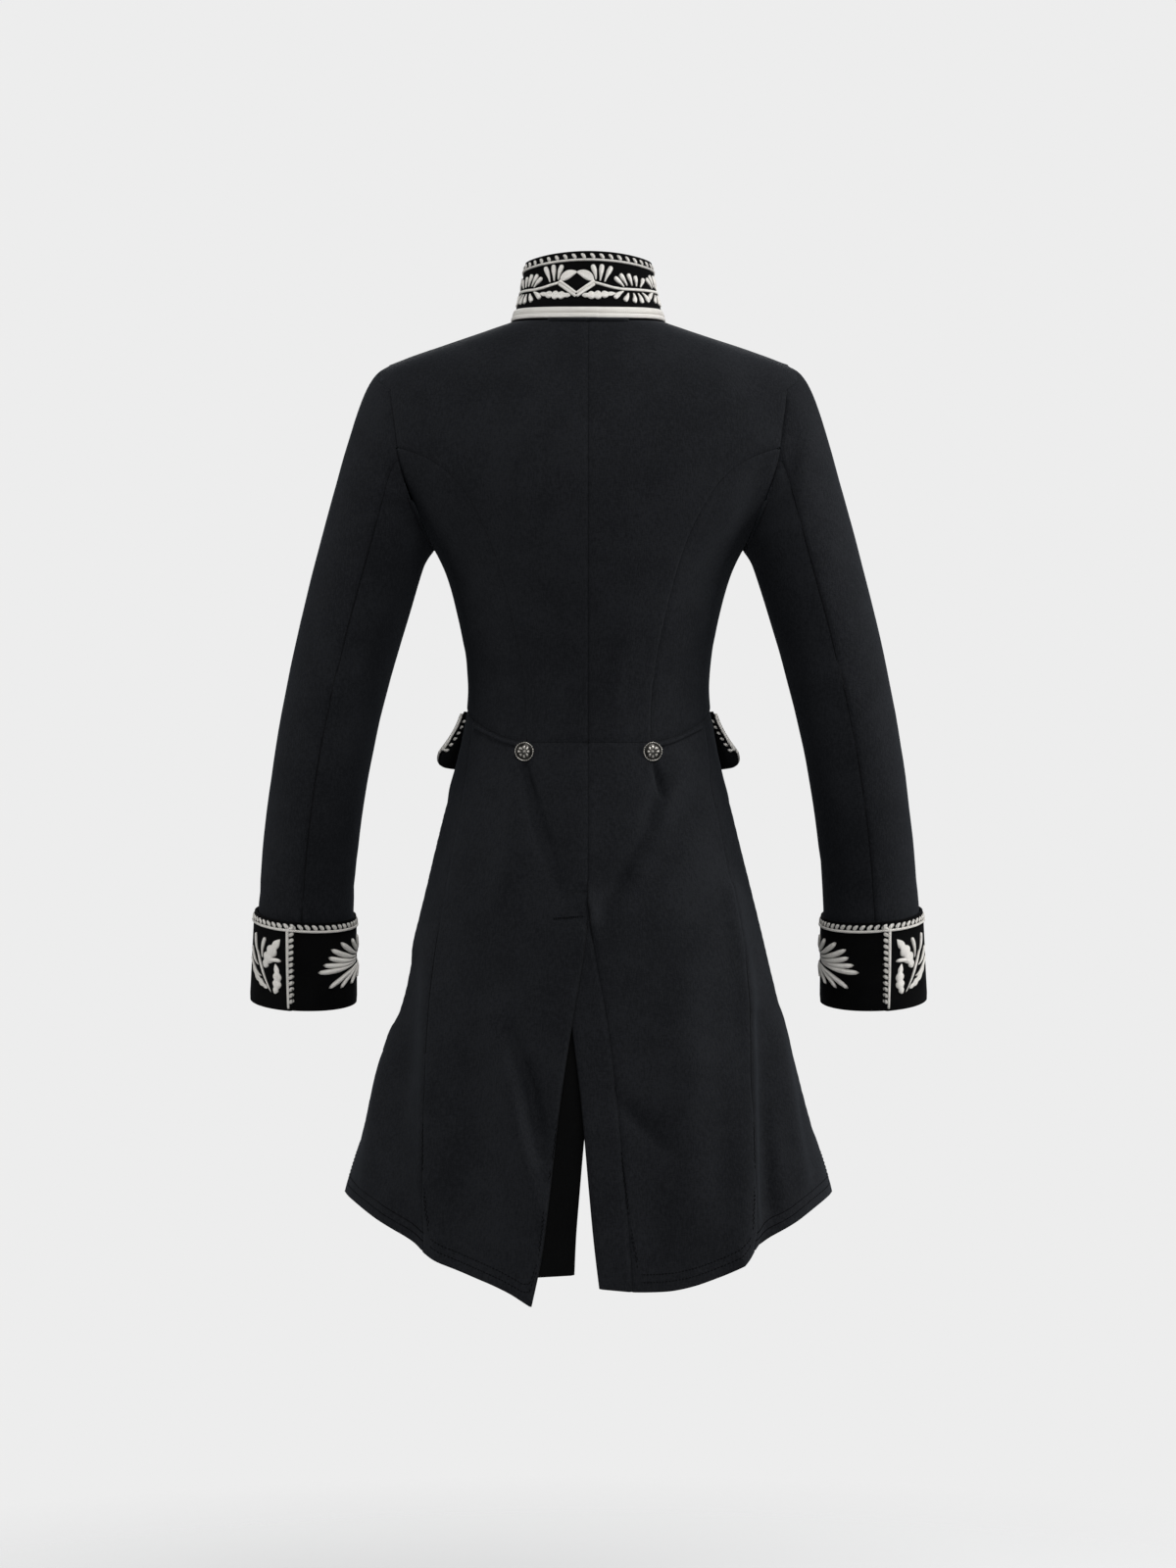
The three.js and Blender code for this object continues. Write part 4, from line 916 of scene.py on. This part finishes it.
# %% Leaf and band
ROOTED = 0.0004
BRAID_PROFILE = [
    (-0.5, -0.3), (-0.42, 0.5), (-0.26, 0.9), (0.0, 1.0),
    (0.26, 0.9), (0.42, 0.5), (0.5, -0.3), (-0.5, -0.3),
]
BRAID_STEP = 0.0018
PICOT_PITCH = 0.0062


def curve_at(points, t):
    """A point and its sideways direction on a smooth curve through three places."""
    a, b, c = (Vector(p) for p in points)
    middle = b * 2 - (a + c) * 0.5
    here = a * (1 - t) ** 2 + middle * (2 * t * (1 - t)) + c * t * t
    along = (middle - a) * (1 - t) + (c - middle) * t
    return here, Vector((-along.y, along.x)).normalized()


def club(t):
    """Narrow at the root, widest near the tip, and rounded."""
    swelling = 0.24 + 0.76 * min(1.0, t / 0.62) ** 1.3
    return swelling * (1 - max(0.0, (t - 0.78) / 0.22) ** 2.2) ** 0.5


def blade(t):
    """Pointed at both ends and fullest in the middle."""
    return max(0.0, sin(pi * t ** 0.85)) ** 0.75


def thread_layers(bm):
    """The UV map and the painted shade attribute that thread materials read."""
    floats = bm.verts.layers.float
    return bm.loops.layers.uv.verify(), floats.get("painted_shade") or floats.new("painted_shade")


def lay_uv(made, uv, flat):
    """Gives each corner of the new faces its vertex's flat place."""
    for face in {f for v in made for f in v.link_faces}:
        for loop in face.loops:
            loop[uv].uv = flat[loop.vert]


def arc_angle(height):
    """The angle from the pole of a ball of radius 1 to a height on it."""
    return acos(max(-1.0, min(1.0, height)))


def leaf(
    bm, wrap, points, width, height, form=club, lobes=0, rib=0.0, rings=12, sides=8, from_top=False
):
    """One padded leaf, from its root through its middle to its tip."""
    uv, low = thread_layers(bm)
    made = bmesh.ops.create_uvsphere(bm, u_segments=sides, v_segments=rings, radius=1)["verts"]
    length = sum((Vector(b) - Vector(a)).length for a, b in zip(points, points[1:]))
    flat = {}
    for v in made:
        t = 1 - arc_angle(v.co.z) / pi
        ring = hypot(v.co.x, v.co.y)
        side, lift = (v.co.x / ring, v.co.y / ring) if ring > SAME_PLACE else (0.0, 0.0)
        wide = width / 2 * form(t)
        scallop = abs(sin(pi * lobes * t + 0.35))
        if lobes:
            wide *= 0.5 + 0.62 * scallop ** 0.6
        here, sideways = curve_at(points, t)
        spot = here + sideways * wide * side
        full = height * min(1.0, form(t) + 0.25)
        groove = 1 - rib * exp(-((side / 0.22) ** 2))
        up = full * max(lift, 0.0) * groove - ROOTED * (lift <= 0.01)
        if lobes:
            up *= 0.8 + 0.3 * scallop
        # Painted shade: darker low on the leaf, where it meets the velvet.
        v[low] = max(0.0, 1 - max(lift, 0.0) * 1.7) * 0.85
        flat[v] = (t * length, side * wide)
        v.co = wrap.place(spot.x, spot.y, up, from_top)
    lay_uv(made, uv, flat)


def on_path(points, far):
    """The place at a distance along a path of straight runs."""
    for a, b in zip(points, points[1:]):
        run = (b - a).length
        if far <= run or b is points[-1]:
            return a + (b - a) * (far / run)
        far -= run
    return points[-1]


def band(bm, wrap, path, width, height, from_top=False, lift=0.0):
    """A rounded braid along a path of pattern places, closed all round."""
    uv, low = thread_layers(bm)
    points = [Vector(p) for p in path]
    whole = sum((b - a).length for a, b in zip(points, points[1:]))
    sides = len(BRAID_PROFILE) - 1
    count = max(2, ceil(whole / BRAID_STEP))
    made = bmesh.ops.create_grid(bm, x_segments=count, y_segments=sides, size=0.5)["verts"]
    flat = {}
    for v in made:
        far = max(0.0, min(1.0, v.co.x + 0.5)) * whole
        across, up = BRAID_PROFILE[round((v.co.y + 0.5) * sides)]
        before, after = max(0.0, far - width / 2), min(whole, far + width / 2)
        ahead = on_path(points, after) - on_path(points, before)
        ahead.normalize()
        spot = on_path(points, far) + Vector((-ahead.y, ahead.x)) * across * width
        # Painted shade: darker low on the braid, where it meets the velvet.
        v[low] = max(0.0, 1 - up * 1.9) * 0.8
        flat[v] = (far, across * width)
        v.co = wrap.place(spot.x, spot.y, up * height + lift, from_top)
    lay_uv(made, uv, flat)
    bmesh.ops.remove_doubles(bm, verts=made, dist=SAME_PLACE)
    ends = [e for e in bm.edges if e.is_boundary]
    bmesh.ops.holes_fill(bm, edges=ends, sides=0)


def picots(
    bm, wrap, path, side, from_top=False,
    length=0.0046, width=0.0036, lean=0.0034, pitch=PICOT_PITCH,
):
    """Small leaning loops of thread along one edge of a braid."""
    turns = [Vector(p) for p in path]
    for a, b in zip(turns, turns[1:]):
        count = max(1, round((b - a).length / pitch))
        along = (b - a).normalized()
        out = Vector((-along.y, along.x)) * side
        for k in range(count):
            foot = a.lerp(b, (k + 0.25) / count)
            tip = foot + out * length + along * lean
            bend = foot.lerp(tip, 0.5) - along * 0.0007 + out * 0.0004
            points = (foot - out * 0.0008, bend, tip)
            leaf(bm, wrap, points, width, 0.0013, blade, rings=6, sides=6, from_top=from_top)


def close_up(bm, name, material, replaced=None, node_slot="silver_braid"):
    """Closed trimming with its faces outwards, as a piece of the coat."""
    bmesh.ops.recalc_face_normals(bm, faces=bm.faces)
    piece = add_piece(name, bm, material, node_slot)
    if replaced:
        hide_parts(replaced)
    print(name, len(piece.data.polygons), "faces")
    return piece


def mm(*places):
    """Pattern places from millimetres."""
    return [(x / 1000, y / 1000) for x, y in places]


print("leaf, band and picots ready")

# %% [markdown]
# ## The collar's trimming
# Two ribbed braids with a thin one between them cover the seam at the
# collar's base, and a twisted one with small leaning picots runs below the
# top edge. Between them the embroidery starts from a pointed join near the
# centre back, and its two sprays run round to the front as mirror images.

# %% Collar braids
NECK = Wrap("collar", (0, 0, 0), -pi + 0.03, 1)
NECK_BACK = NECK.round_at(0.0)
print("collar round", round(NECK.whole, 3), "rise at back", round(NECK.rise(NECK_BACK), 4))
END = 0.003
FAR_END = NECK.whole - END
JOIN, OVERLAP = NECK_BACK - 0.006, 0.004
bm = bmesh.new()
for up in (0.0044, 0.0105):
    band(bm, NECK, [(END, up), (JOIN, up)], 0.0054, 0.0014)
    band(bm, NECK, [(JOIN - OVERLAP, up), (FAR_END, up)], 0.0054, 0.0014, lift=0.0003)
band(bm, NECK, [(END, 0.00745), (FAR_END, 0.00745)], 0.0013, 0.0016)
close_up(bm, "collar_base_braid_thread", braid_thread, "collar_base_braid")

bm = bmesh.new()
band(bm, NECK, [(END, 0.0088), (FAR_END, 0.0088)], 0.0027, 0.0017, from_top=True)
picot_line = [(END, 0.0076), (FAR_END, 0.0076)]
picots(bm, NECK, picot_line, -1, True, 0.005, 0.0042, 0.0052, 0.0098)
close_up(bm, "collar_top_braid_thread", twist_thread, "collar_top_braid")

# %% Collar embroidery
MOTIF = NECK_BACK + 0.011
SPRAY_STEP, SPRAY_START, SPRAY_COUNT = 0.0405, -0.002, 5
NECK_MARGIN = 0.006
BROAD = [
    (mm((17.0, 39.2), (9.5, 45.6), (-0.8, 48.4)), 9.6, 0, 16),
    (mm((5.0, 25.0), (22.0, 25.2), (40.0, 27.2)), 8.6, 5, 26),
]
LONG = [
    mm((19.5, 40.0), (18.6, 48.0), (15.6, 56.0)),
    mm((23.8, 38.6), (25.0, 47.5), (26.4, 56.6)),
    mm((28.2, 37.6), (32.0, 46.4), (37.0, 54.4)),
]
SPRAY = [
    mm((51.0, 33.0), (46.0, 38.5), (40.5, 43.5)),
    mm((54.5, 34.0), (51.0, 41.0), (47.0, 47.0)),
    mm((60.0, 34.0), (58.6, 41.0), (56.2, 47.5)),
    mm((65.0, 33.6), (65.6, 40.0), (64.8, 45.5)),
    mm((70.0, 33.0), (74.0, 38.5), (77.0, 43.0)),
    mm((50.0, 29.0), (44.5, 26.5), (38.6, 21.2)),
    mm((54.5, 28.0), (52.5, 23.5), (48.6, 18.6)),
    mm((60.0, 28.0), (60.6, 22.5), (58.8, 17.2)),
    mm((65.5, 28.0), (68.0, 22.5), (68.6, 16.8)),
    mm((71.0, 28.5), (75.5, 24.0), (78.6, 18.0)),
]
STEM = mm((0.3, 25.4), (9, 31.8), (18, 37.8), (26, 35.6), (36, 32.8), (46, 31.2), (80, 30.6))


def turned(places, hand, ahead=0.0):
    """Places from the motif's middle, to one hand of it, as places on the collar."""
    return [(MOTIF + hand * (x + ahead), y) for x, y in places]


bm = bmesh.new()
for hand in (-1, 1):
    reach = (NECK.whole - MOTIF if hand > 0 else MOTIF) - NECK_MARGIN
    stem = turned(STEM + [(reach, STEM[-1][1])], hand)
    for shift in (-0.0016, 0.0017):
        band(bm, NECK, [(x, y + shift) for x, y in stem[:3]], 0.0032, 0.0018)
    band(bm, NECK, stem[2:], 0.0030, 0.0015)
    for places, width, lobes, rings in BROAD:
        path = turned(places, hand)
        leaf(bm, NECK, path, width / 1000, 0.0016, blade, lobes, 0.55, rings, 12)
    for places in LONG:
        leaf(bm, NECK, turned(places, hand), 0.0056, 0.0019, rings=14, sides=10)
    for group in range(SPRAY_COUNT):
        for places in SPRAY:
            path = turned(places, hand, group * SPRAY_STEP + SPRAY_START)
            if all(NECK_MARGIN < x < NECK.whole - NECK_MARGIN for x, _ in path):
                leaf(bm, NECK, path, 0.0056, 0.0018)
close_up(bm, "collar_embroidery", satin_thread)

# %% [markdown]
# ## The cuffs' trimming
# Each cuff is wrapped round the sleeve and lapped at the back. Its picot braid
# runs round below a narrow rim of velvet, and another runs down the lapped
# end. A palm fan spreads from the inside of the wrist and an oak spray rises
# on the outside. The right cuff is the mirror image of the left.

# %% Cuff patterns
PALM_ROOT = (-90.0, 42.0)
PALM = [
    (-72, 18, 2), (-57, 19.5, 3), (-40, 21, 3.5), (-29, 27, 3.5), (-26.5, 35, 3), (-21.5, 42.5, 2),
    (-16.5, 50, 1), (-29.5, 66.5, -3), (-44, 67.5, -4), (-61, 66, -3.5), (-76, 62, -2),
]
OAK = [
    (mm((39.5, 51), (30, 35), (17.5, 18.5)), 12.6), (mm((28.5, 75), (24, 60), (25, 43.5)), 9.6),
    (mm((36, 70.5), (49, 64), (64, 52)), 7.4),
]
SLENDER = [
    (mm((36.5, 50), (31, 42), (17.5, 41)), 4.2), (mm((41.5, 42), (40, 30), (35, 20)), 4.6),
    (mm((47, 41), (52, 30), (52, 18)), 4.6), (mm((48, 50), (56, 45), (64, 33)), 4.4),
    (mm((44, 60), (54, 56), (68, 44)), 4.4), (mm((31.8, 75), (41, 56), (49, 34)), 3.4),
]
OAK_LOBES = 4
MIRROR = 0.164
CUFF_MARGIN = 0.002
HANDS = (("left", 1), ("right", -1))

for side, turn in HANDS:
    wrist = Wrap("cuff_" + side, (turn * 0.2825, -0.022, 0), -turn * (pi - 0.03), turn)
    back = wrist.round_at(0.0)
    whole = wrist.whole
    print("cuff", side, "round", round(whole, 3), "back at", round(back, 3))
    bm = bmesh.new()
    band(bm, wrist, [(0.001, 0.0092), (whole - 0.001, 0.0092)], 0.0029, 0.0017, from_top=True)
    picots(bm, wrist, [(0.001, 0.008), (whole - 0.001, 0.008)], -1, True, 0.005, 0.0042, 0.0046)
    close_up(bm, "cuff_braid_thread_" + side, twist_thread, "cuff_braid_" + side)

    bm = bmesh.new()
    edge = [(back + 0.0105, 0.008), (back + 0.0135, wrist.rise(back) - 0.002)]
    band(bm, wrist, edge, 0.0030, 0.0017, from_top=True)
    picots(bm, wrist, [(x - 0.0012, y) for x, y in edge], 1, True, 0.0046, 0.0042, -0.0046)
    close_up(bm, "cuff_edge_braid_thread_" + side, twist_thread, "cuff_edge_braid_" + side)

    def cuff_leaf(places, *shape, **more):
        """A leaf on this cuff, unless it would run over the lapped end."""
        path = [(back + x, y) for x, y in places]
        if all(CUFF_MARGIN < x < whole - CUFF_MARGIN for x, _ in path):
            leaf(bm, wrist, path, *shape, from_top=True, **more)

    bm = bmesh.new()
    for flip in (False, True):
        for x, y, bend in PALM:
            root, tip = Vector(PALM_ROOT), Vector((x, y))
            path = (root.lerp(tip, 0.24), root.lerp(tip, 0.6) + Vector((0, bend)), tip)
            places = [(2 * root.x - x if flip else x, y) for x, y in path]
            cuff_leaf(mm(*places), 0.0056, 0.0022, rings=16, sides=10)
        for places, width in OAK:
            places = [(MIRROR - x if flip else x, y) for x, y in places]
            cuff_leaf(places, width / 1000, 0.0018, blade, OAK_LOBES, 0.5, 24, 12)
        for places, width in SLENDER:
            places = [(MIRROR - x if flip else x, y) for x, y in places]
            cuff_leaf(places, width / 1000, 0.0018, rings=14, sides=10)
    close_up(bm, "cuff_embroidery_" + side, satin_thread)

# %% [markdown]
# ## The flaps' trimming
# The picot braid follows each pocket flap's back edge, lower edge and front
# edge, with its picots pointing inwards.

# %% Flap braids
class EndWrap:
    """Lays trimming over the back end of a piece: across it, up it, and out to the back."""

    def __init__(self, wrap):
        self.wrap = wrap

    def place(self, across, up, out, from_top=False):
        """The point this far across and up the end, and out to the back."""
        foot = self.wrap.place(0.0012, up, 0.0)
        aside = (self.wrap.place(0.0012, up, 0.001) - foot).normalized()
        back = Vector((0, 1, 0))
        back = (back - aside * back.dot(aside)).normalized()
        return foot + aside * across + back * (out + 0.001)


for side, turn in HANDS:
    hip = Wrap("pocket_flap_" + side, (0, -0.02, 0), turn * radians(45), turn, steps=180)
    whole = hip.whole
    inset = 0.0022
    path = [
        (inset, hip.rise(inset) - 0.004), (inset, inset), (whole - inset, inset),
        (whole - inset, hip.rise(whole - inset) - 0.004),
    ]
    print("flap", side, "round", round(whole, 3))
    bm = bmesh.new()
    band(bm, hip, path, 0.0042, 0.0026)
    picots(bm, hip, path, 1, length=0.0056)
    end = [(0.0006, 0.003), (0.0006, hip.rise(0.001) - 0.006)]
    band(bm, EndWrap(hip), end, 0.0036, 0.0014)
    picots(bm, EndWrap(hip), [(x - 0.001, y) for x, y in end], 1, length=0.0046)
    close_up(bm, "flap_braid_thread_" + side, twist_thread, "flap_braid_" + side)

# %% [markdown]
# ## Stitching
# Two rows of small black stitches hold the hem's turned-up edge, and a short
# row across the top of the vent keeps it from tearing.


# %% Stitches
STITCH_THICK = 0.0004
HEM_ROWS = (0.0095, 0.017)
HEM_TOP, HEM_MARGIN = -0.8, 0.004
STITCH_OUT = 0.0001


def facing_turn(direction):
    """The turn that points a shape's Z axis in a direction."""
    return direction.to_track_quat("Z", "Y").to_matrix().to_4x4()


def stitch(bm, a, b):
    """One stitch as a tiny capsule between two points on the cloth."""
    run = b - a
    size = Matrix.Diagonal((STITCH_THICK, STITCH_THICK, run.length / 2, 1))
    shape = Matrix.Translation((a + b) / 2) @ facing_turn(run) @ size
    bmesh.ops.create_uvsphere(bm, u_segments=6, v_segments=4, radius=1, matrix=shape)


def stitch_row(bm, place, whole, length=0.0018, gap=0.0008):
    """Stitches end to end along a row whose places come from a function."""
    for k in range(int(whole / (length + gap))):
        start = k * (length + gap)
        a, b = place(start), place(start + length)
        if a is not None and b is not None and 0 < (b - a).length < 2 * length:
            stitch(bm, a, b)


bm = bmesh.new()
for node in ("tail_left", "fore_skirt_left", "tail_right", "fore_skirt_right"):
    turn = 1 if node.endswith("left") else -1
    hem = Wrap(node, (0, -0.02, 0), -turn * 0.3, turn)
    for up in HEM_ROWS:
        def hem_place(far):
            low = hem.at(hem.angle(far), 0).z < HEM_TOP
            inside = HEM_MARGIN < far < hem.whole - HEM_MARGIN
            return hem.place(far, up, STITCH_OUT) if low and inside else None

        stitch_row(bm, hem_place, hem.whole)
print("hem stitches", len(bm.faces) // 24)
close_up(bm, "hem_stitching", black_thread, node_slot="wool")


def on_back(nodes, x, z, out):
    """A point on the outermost of these sheets, seen from behind."""
    hits = [h for h in (seen_from_behind(n, x, z) for n in nodes) if h is not None]
    return max(hits, key=lambda h: h.y) + Vector((0, out, 0)) if hits else None


bm = bmesh.new()
TACK_START, TACK_END = Vector((0.034, -0.588)), Vector((-0.0005, -0.585))
run = TACK_END - TACK_START
for drop in (0.0, 0.0011):
    def tack_place(far):
        x, z = TACK_START + run.normalized() * far - Vector((0, drop))
        return on_back(("tail_left",), x, z, STITCH_OUT)

    stitch_row(bm, tack_place, run.length, 0.0016, 0.0005)
close_up(bm, "vent_tack", black_thread, node_slot="wool")

# %% [markdown]
# ## Buttons
# Two domed buttons of old silver sit at the back of the waist. Each is a
# sphere whose rings are moved to a button's profile, with a raised rim and a
# plain pattern of small lobes. The height of the relief is kept in an
# attribute, so that the metal stays dark in its hollows.

# %% Button metal
silver, tree, shader = new_material("old_silver", {"Metallic": 0.9, "Roughness": 0.36})
relief = add_node(tree, "Attribute", out="Fac", attribute_name="relief")
metal = colour_ramp(tree, relief, (0.25, 0.85), (0.035, 0.033, 0.03), (0.62, 0.59, 0.54))
tree.links.new(metal, shader.inputs["Base Color"])
print("finish:", silver.name)

# %% Buttons
PROFILE = [
    (0.0, 3.9), (0.9, 3.88), (1.8, 3.8), (2.7, 3.66), (3.6, 3.48), (4.5, 3.24), (5.3, 2.98),
    (6.1, 2.68), (6.8, 2.36), (7.3, 2.08), (7.7, 1.9), (8.0, 2.1), (8.35, 2.55), (8.75, 2.72),
    (9.1, 2.6), (9.4, 2.2), (9.5, 1.6), (9.4, 0.9), (9.0, 0.4), (7.5, 0.2), (4.0, 0.1), (0.0, 0.1),
]


def bump_at(radius, middle, width):
    """A soft ring of relief round a button's face."""
    return exp(-(((radius - middle) / width) ** 2))


WAIST_LEVEL = -0.4275
BACK_RING = 16

for side, x in (("left", 0.062), ("right", -0.062)):
    under = [part + side for part in ("back_", "side_", "tail_", "fore_skirt_")]
    seat = on_back(under, x, WAIST_LEVEL, 0.0)
    turn = facing_turn(Vector((x * 2.2, 0.8, -0.02)).normalized())
    bm = bmesh.new()
    depth = bm.verts.layers.float.new("relief")
    rings = len(PROFILE) - 1
    made = bmesh.ops.create_uvsphere(bm, u_segments=72, v_segments=rings, radius=1)["verts"]
    for v in made:
        ring = round(arc_angle(v.co.z) / pi * rings)
        radius, height = PROFILE[ring]
        angle = atan2(v.co.y, v.co.x)
        lobes = bump_at(radius, 4.3, 1.5) * (0.5 + 0.5 * cos(8 * angle)) ** 0.6
        inner = bump_at(radius, 2.0, 0.8) * (0.5 + 0.5 * cos(8 * angle + pi)) * 0.6
        front = ring < BACK_RING
        beads = bump_at(radius, 8.8, 0.5) * (0.5 + 0.5 * cos(24 * angle)) * front
        bead = bump_at(radius, 0.0, 1.0) * front
        v[depth] = min(1.0, max(lobes, inner, bead, 0.55 * beads + 0.35 * (8.1 < radius < 9.3)))
        height += 0.55 * lobes + 0.3 * inner + 0.5 * bead + 0.22 * beads
        v.co = Vector((radius * cos(angle), radius * sin(angle), height)) / 1000
    bm.transform(Matrix.Translation(seat) @ turn)
    bmesh.ops.recalc_face_normals(bm, faces=bm.faces)
    button = add_piece("button_" + side, bm, silver, "button_metal")
    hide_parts("back_button_" + side)
    print("button", side, "seated at", [round(c, 4) for c in seat])
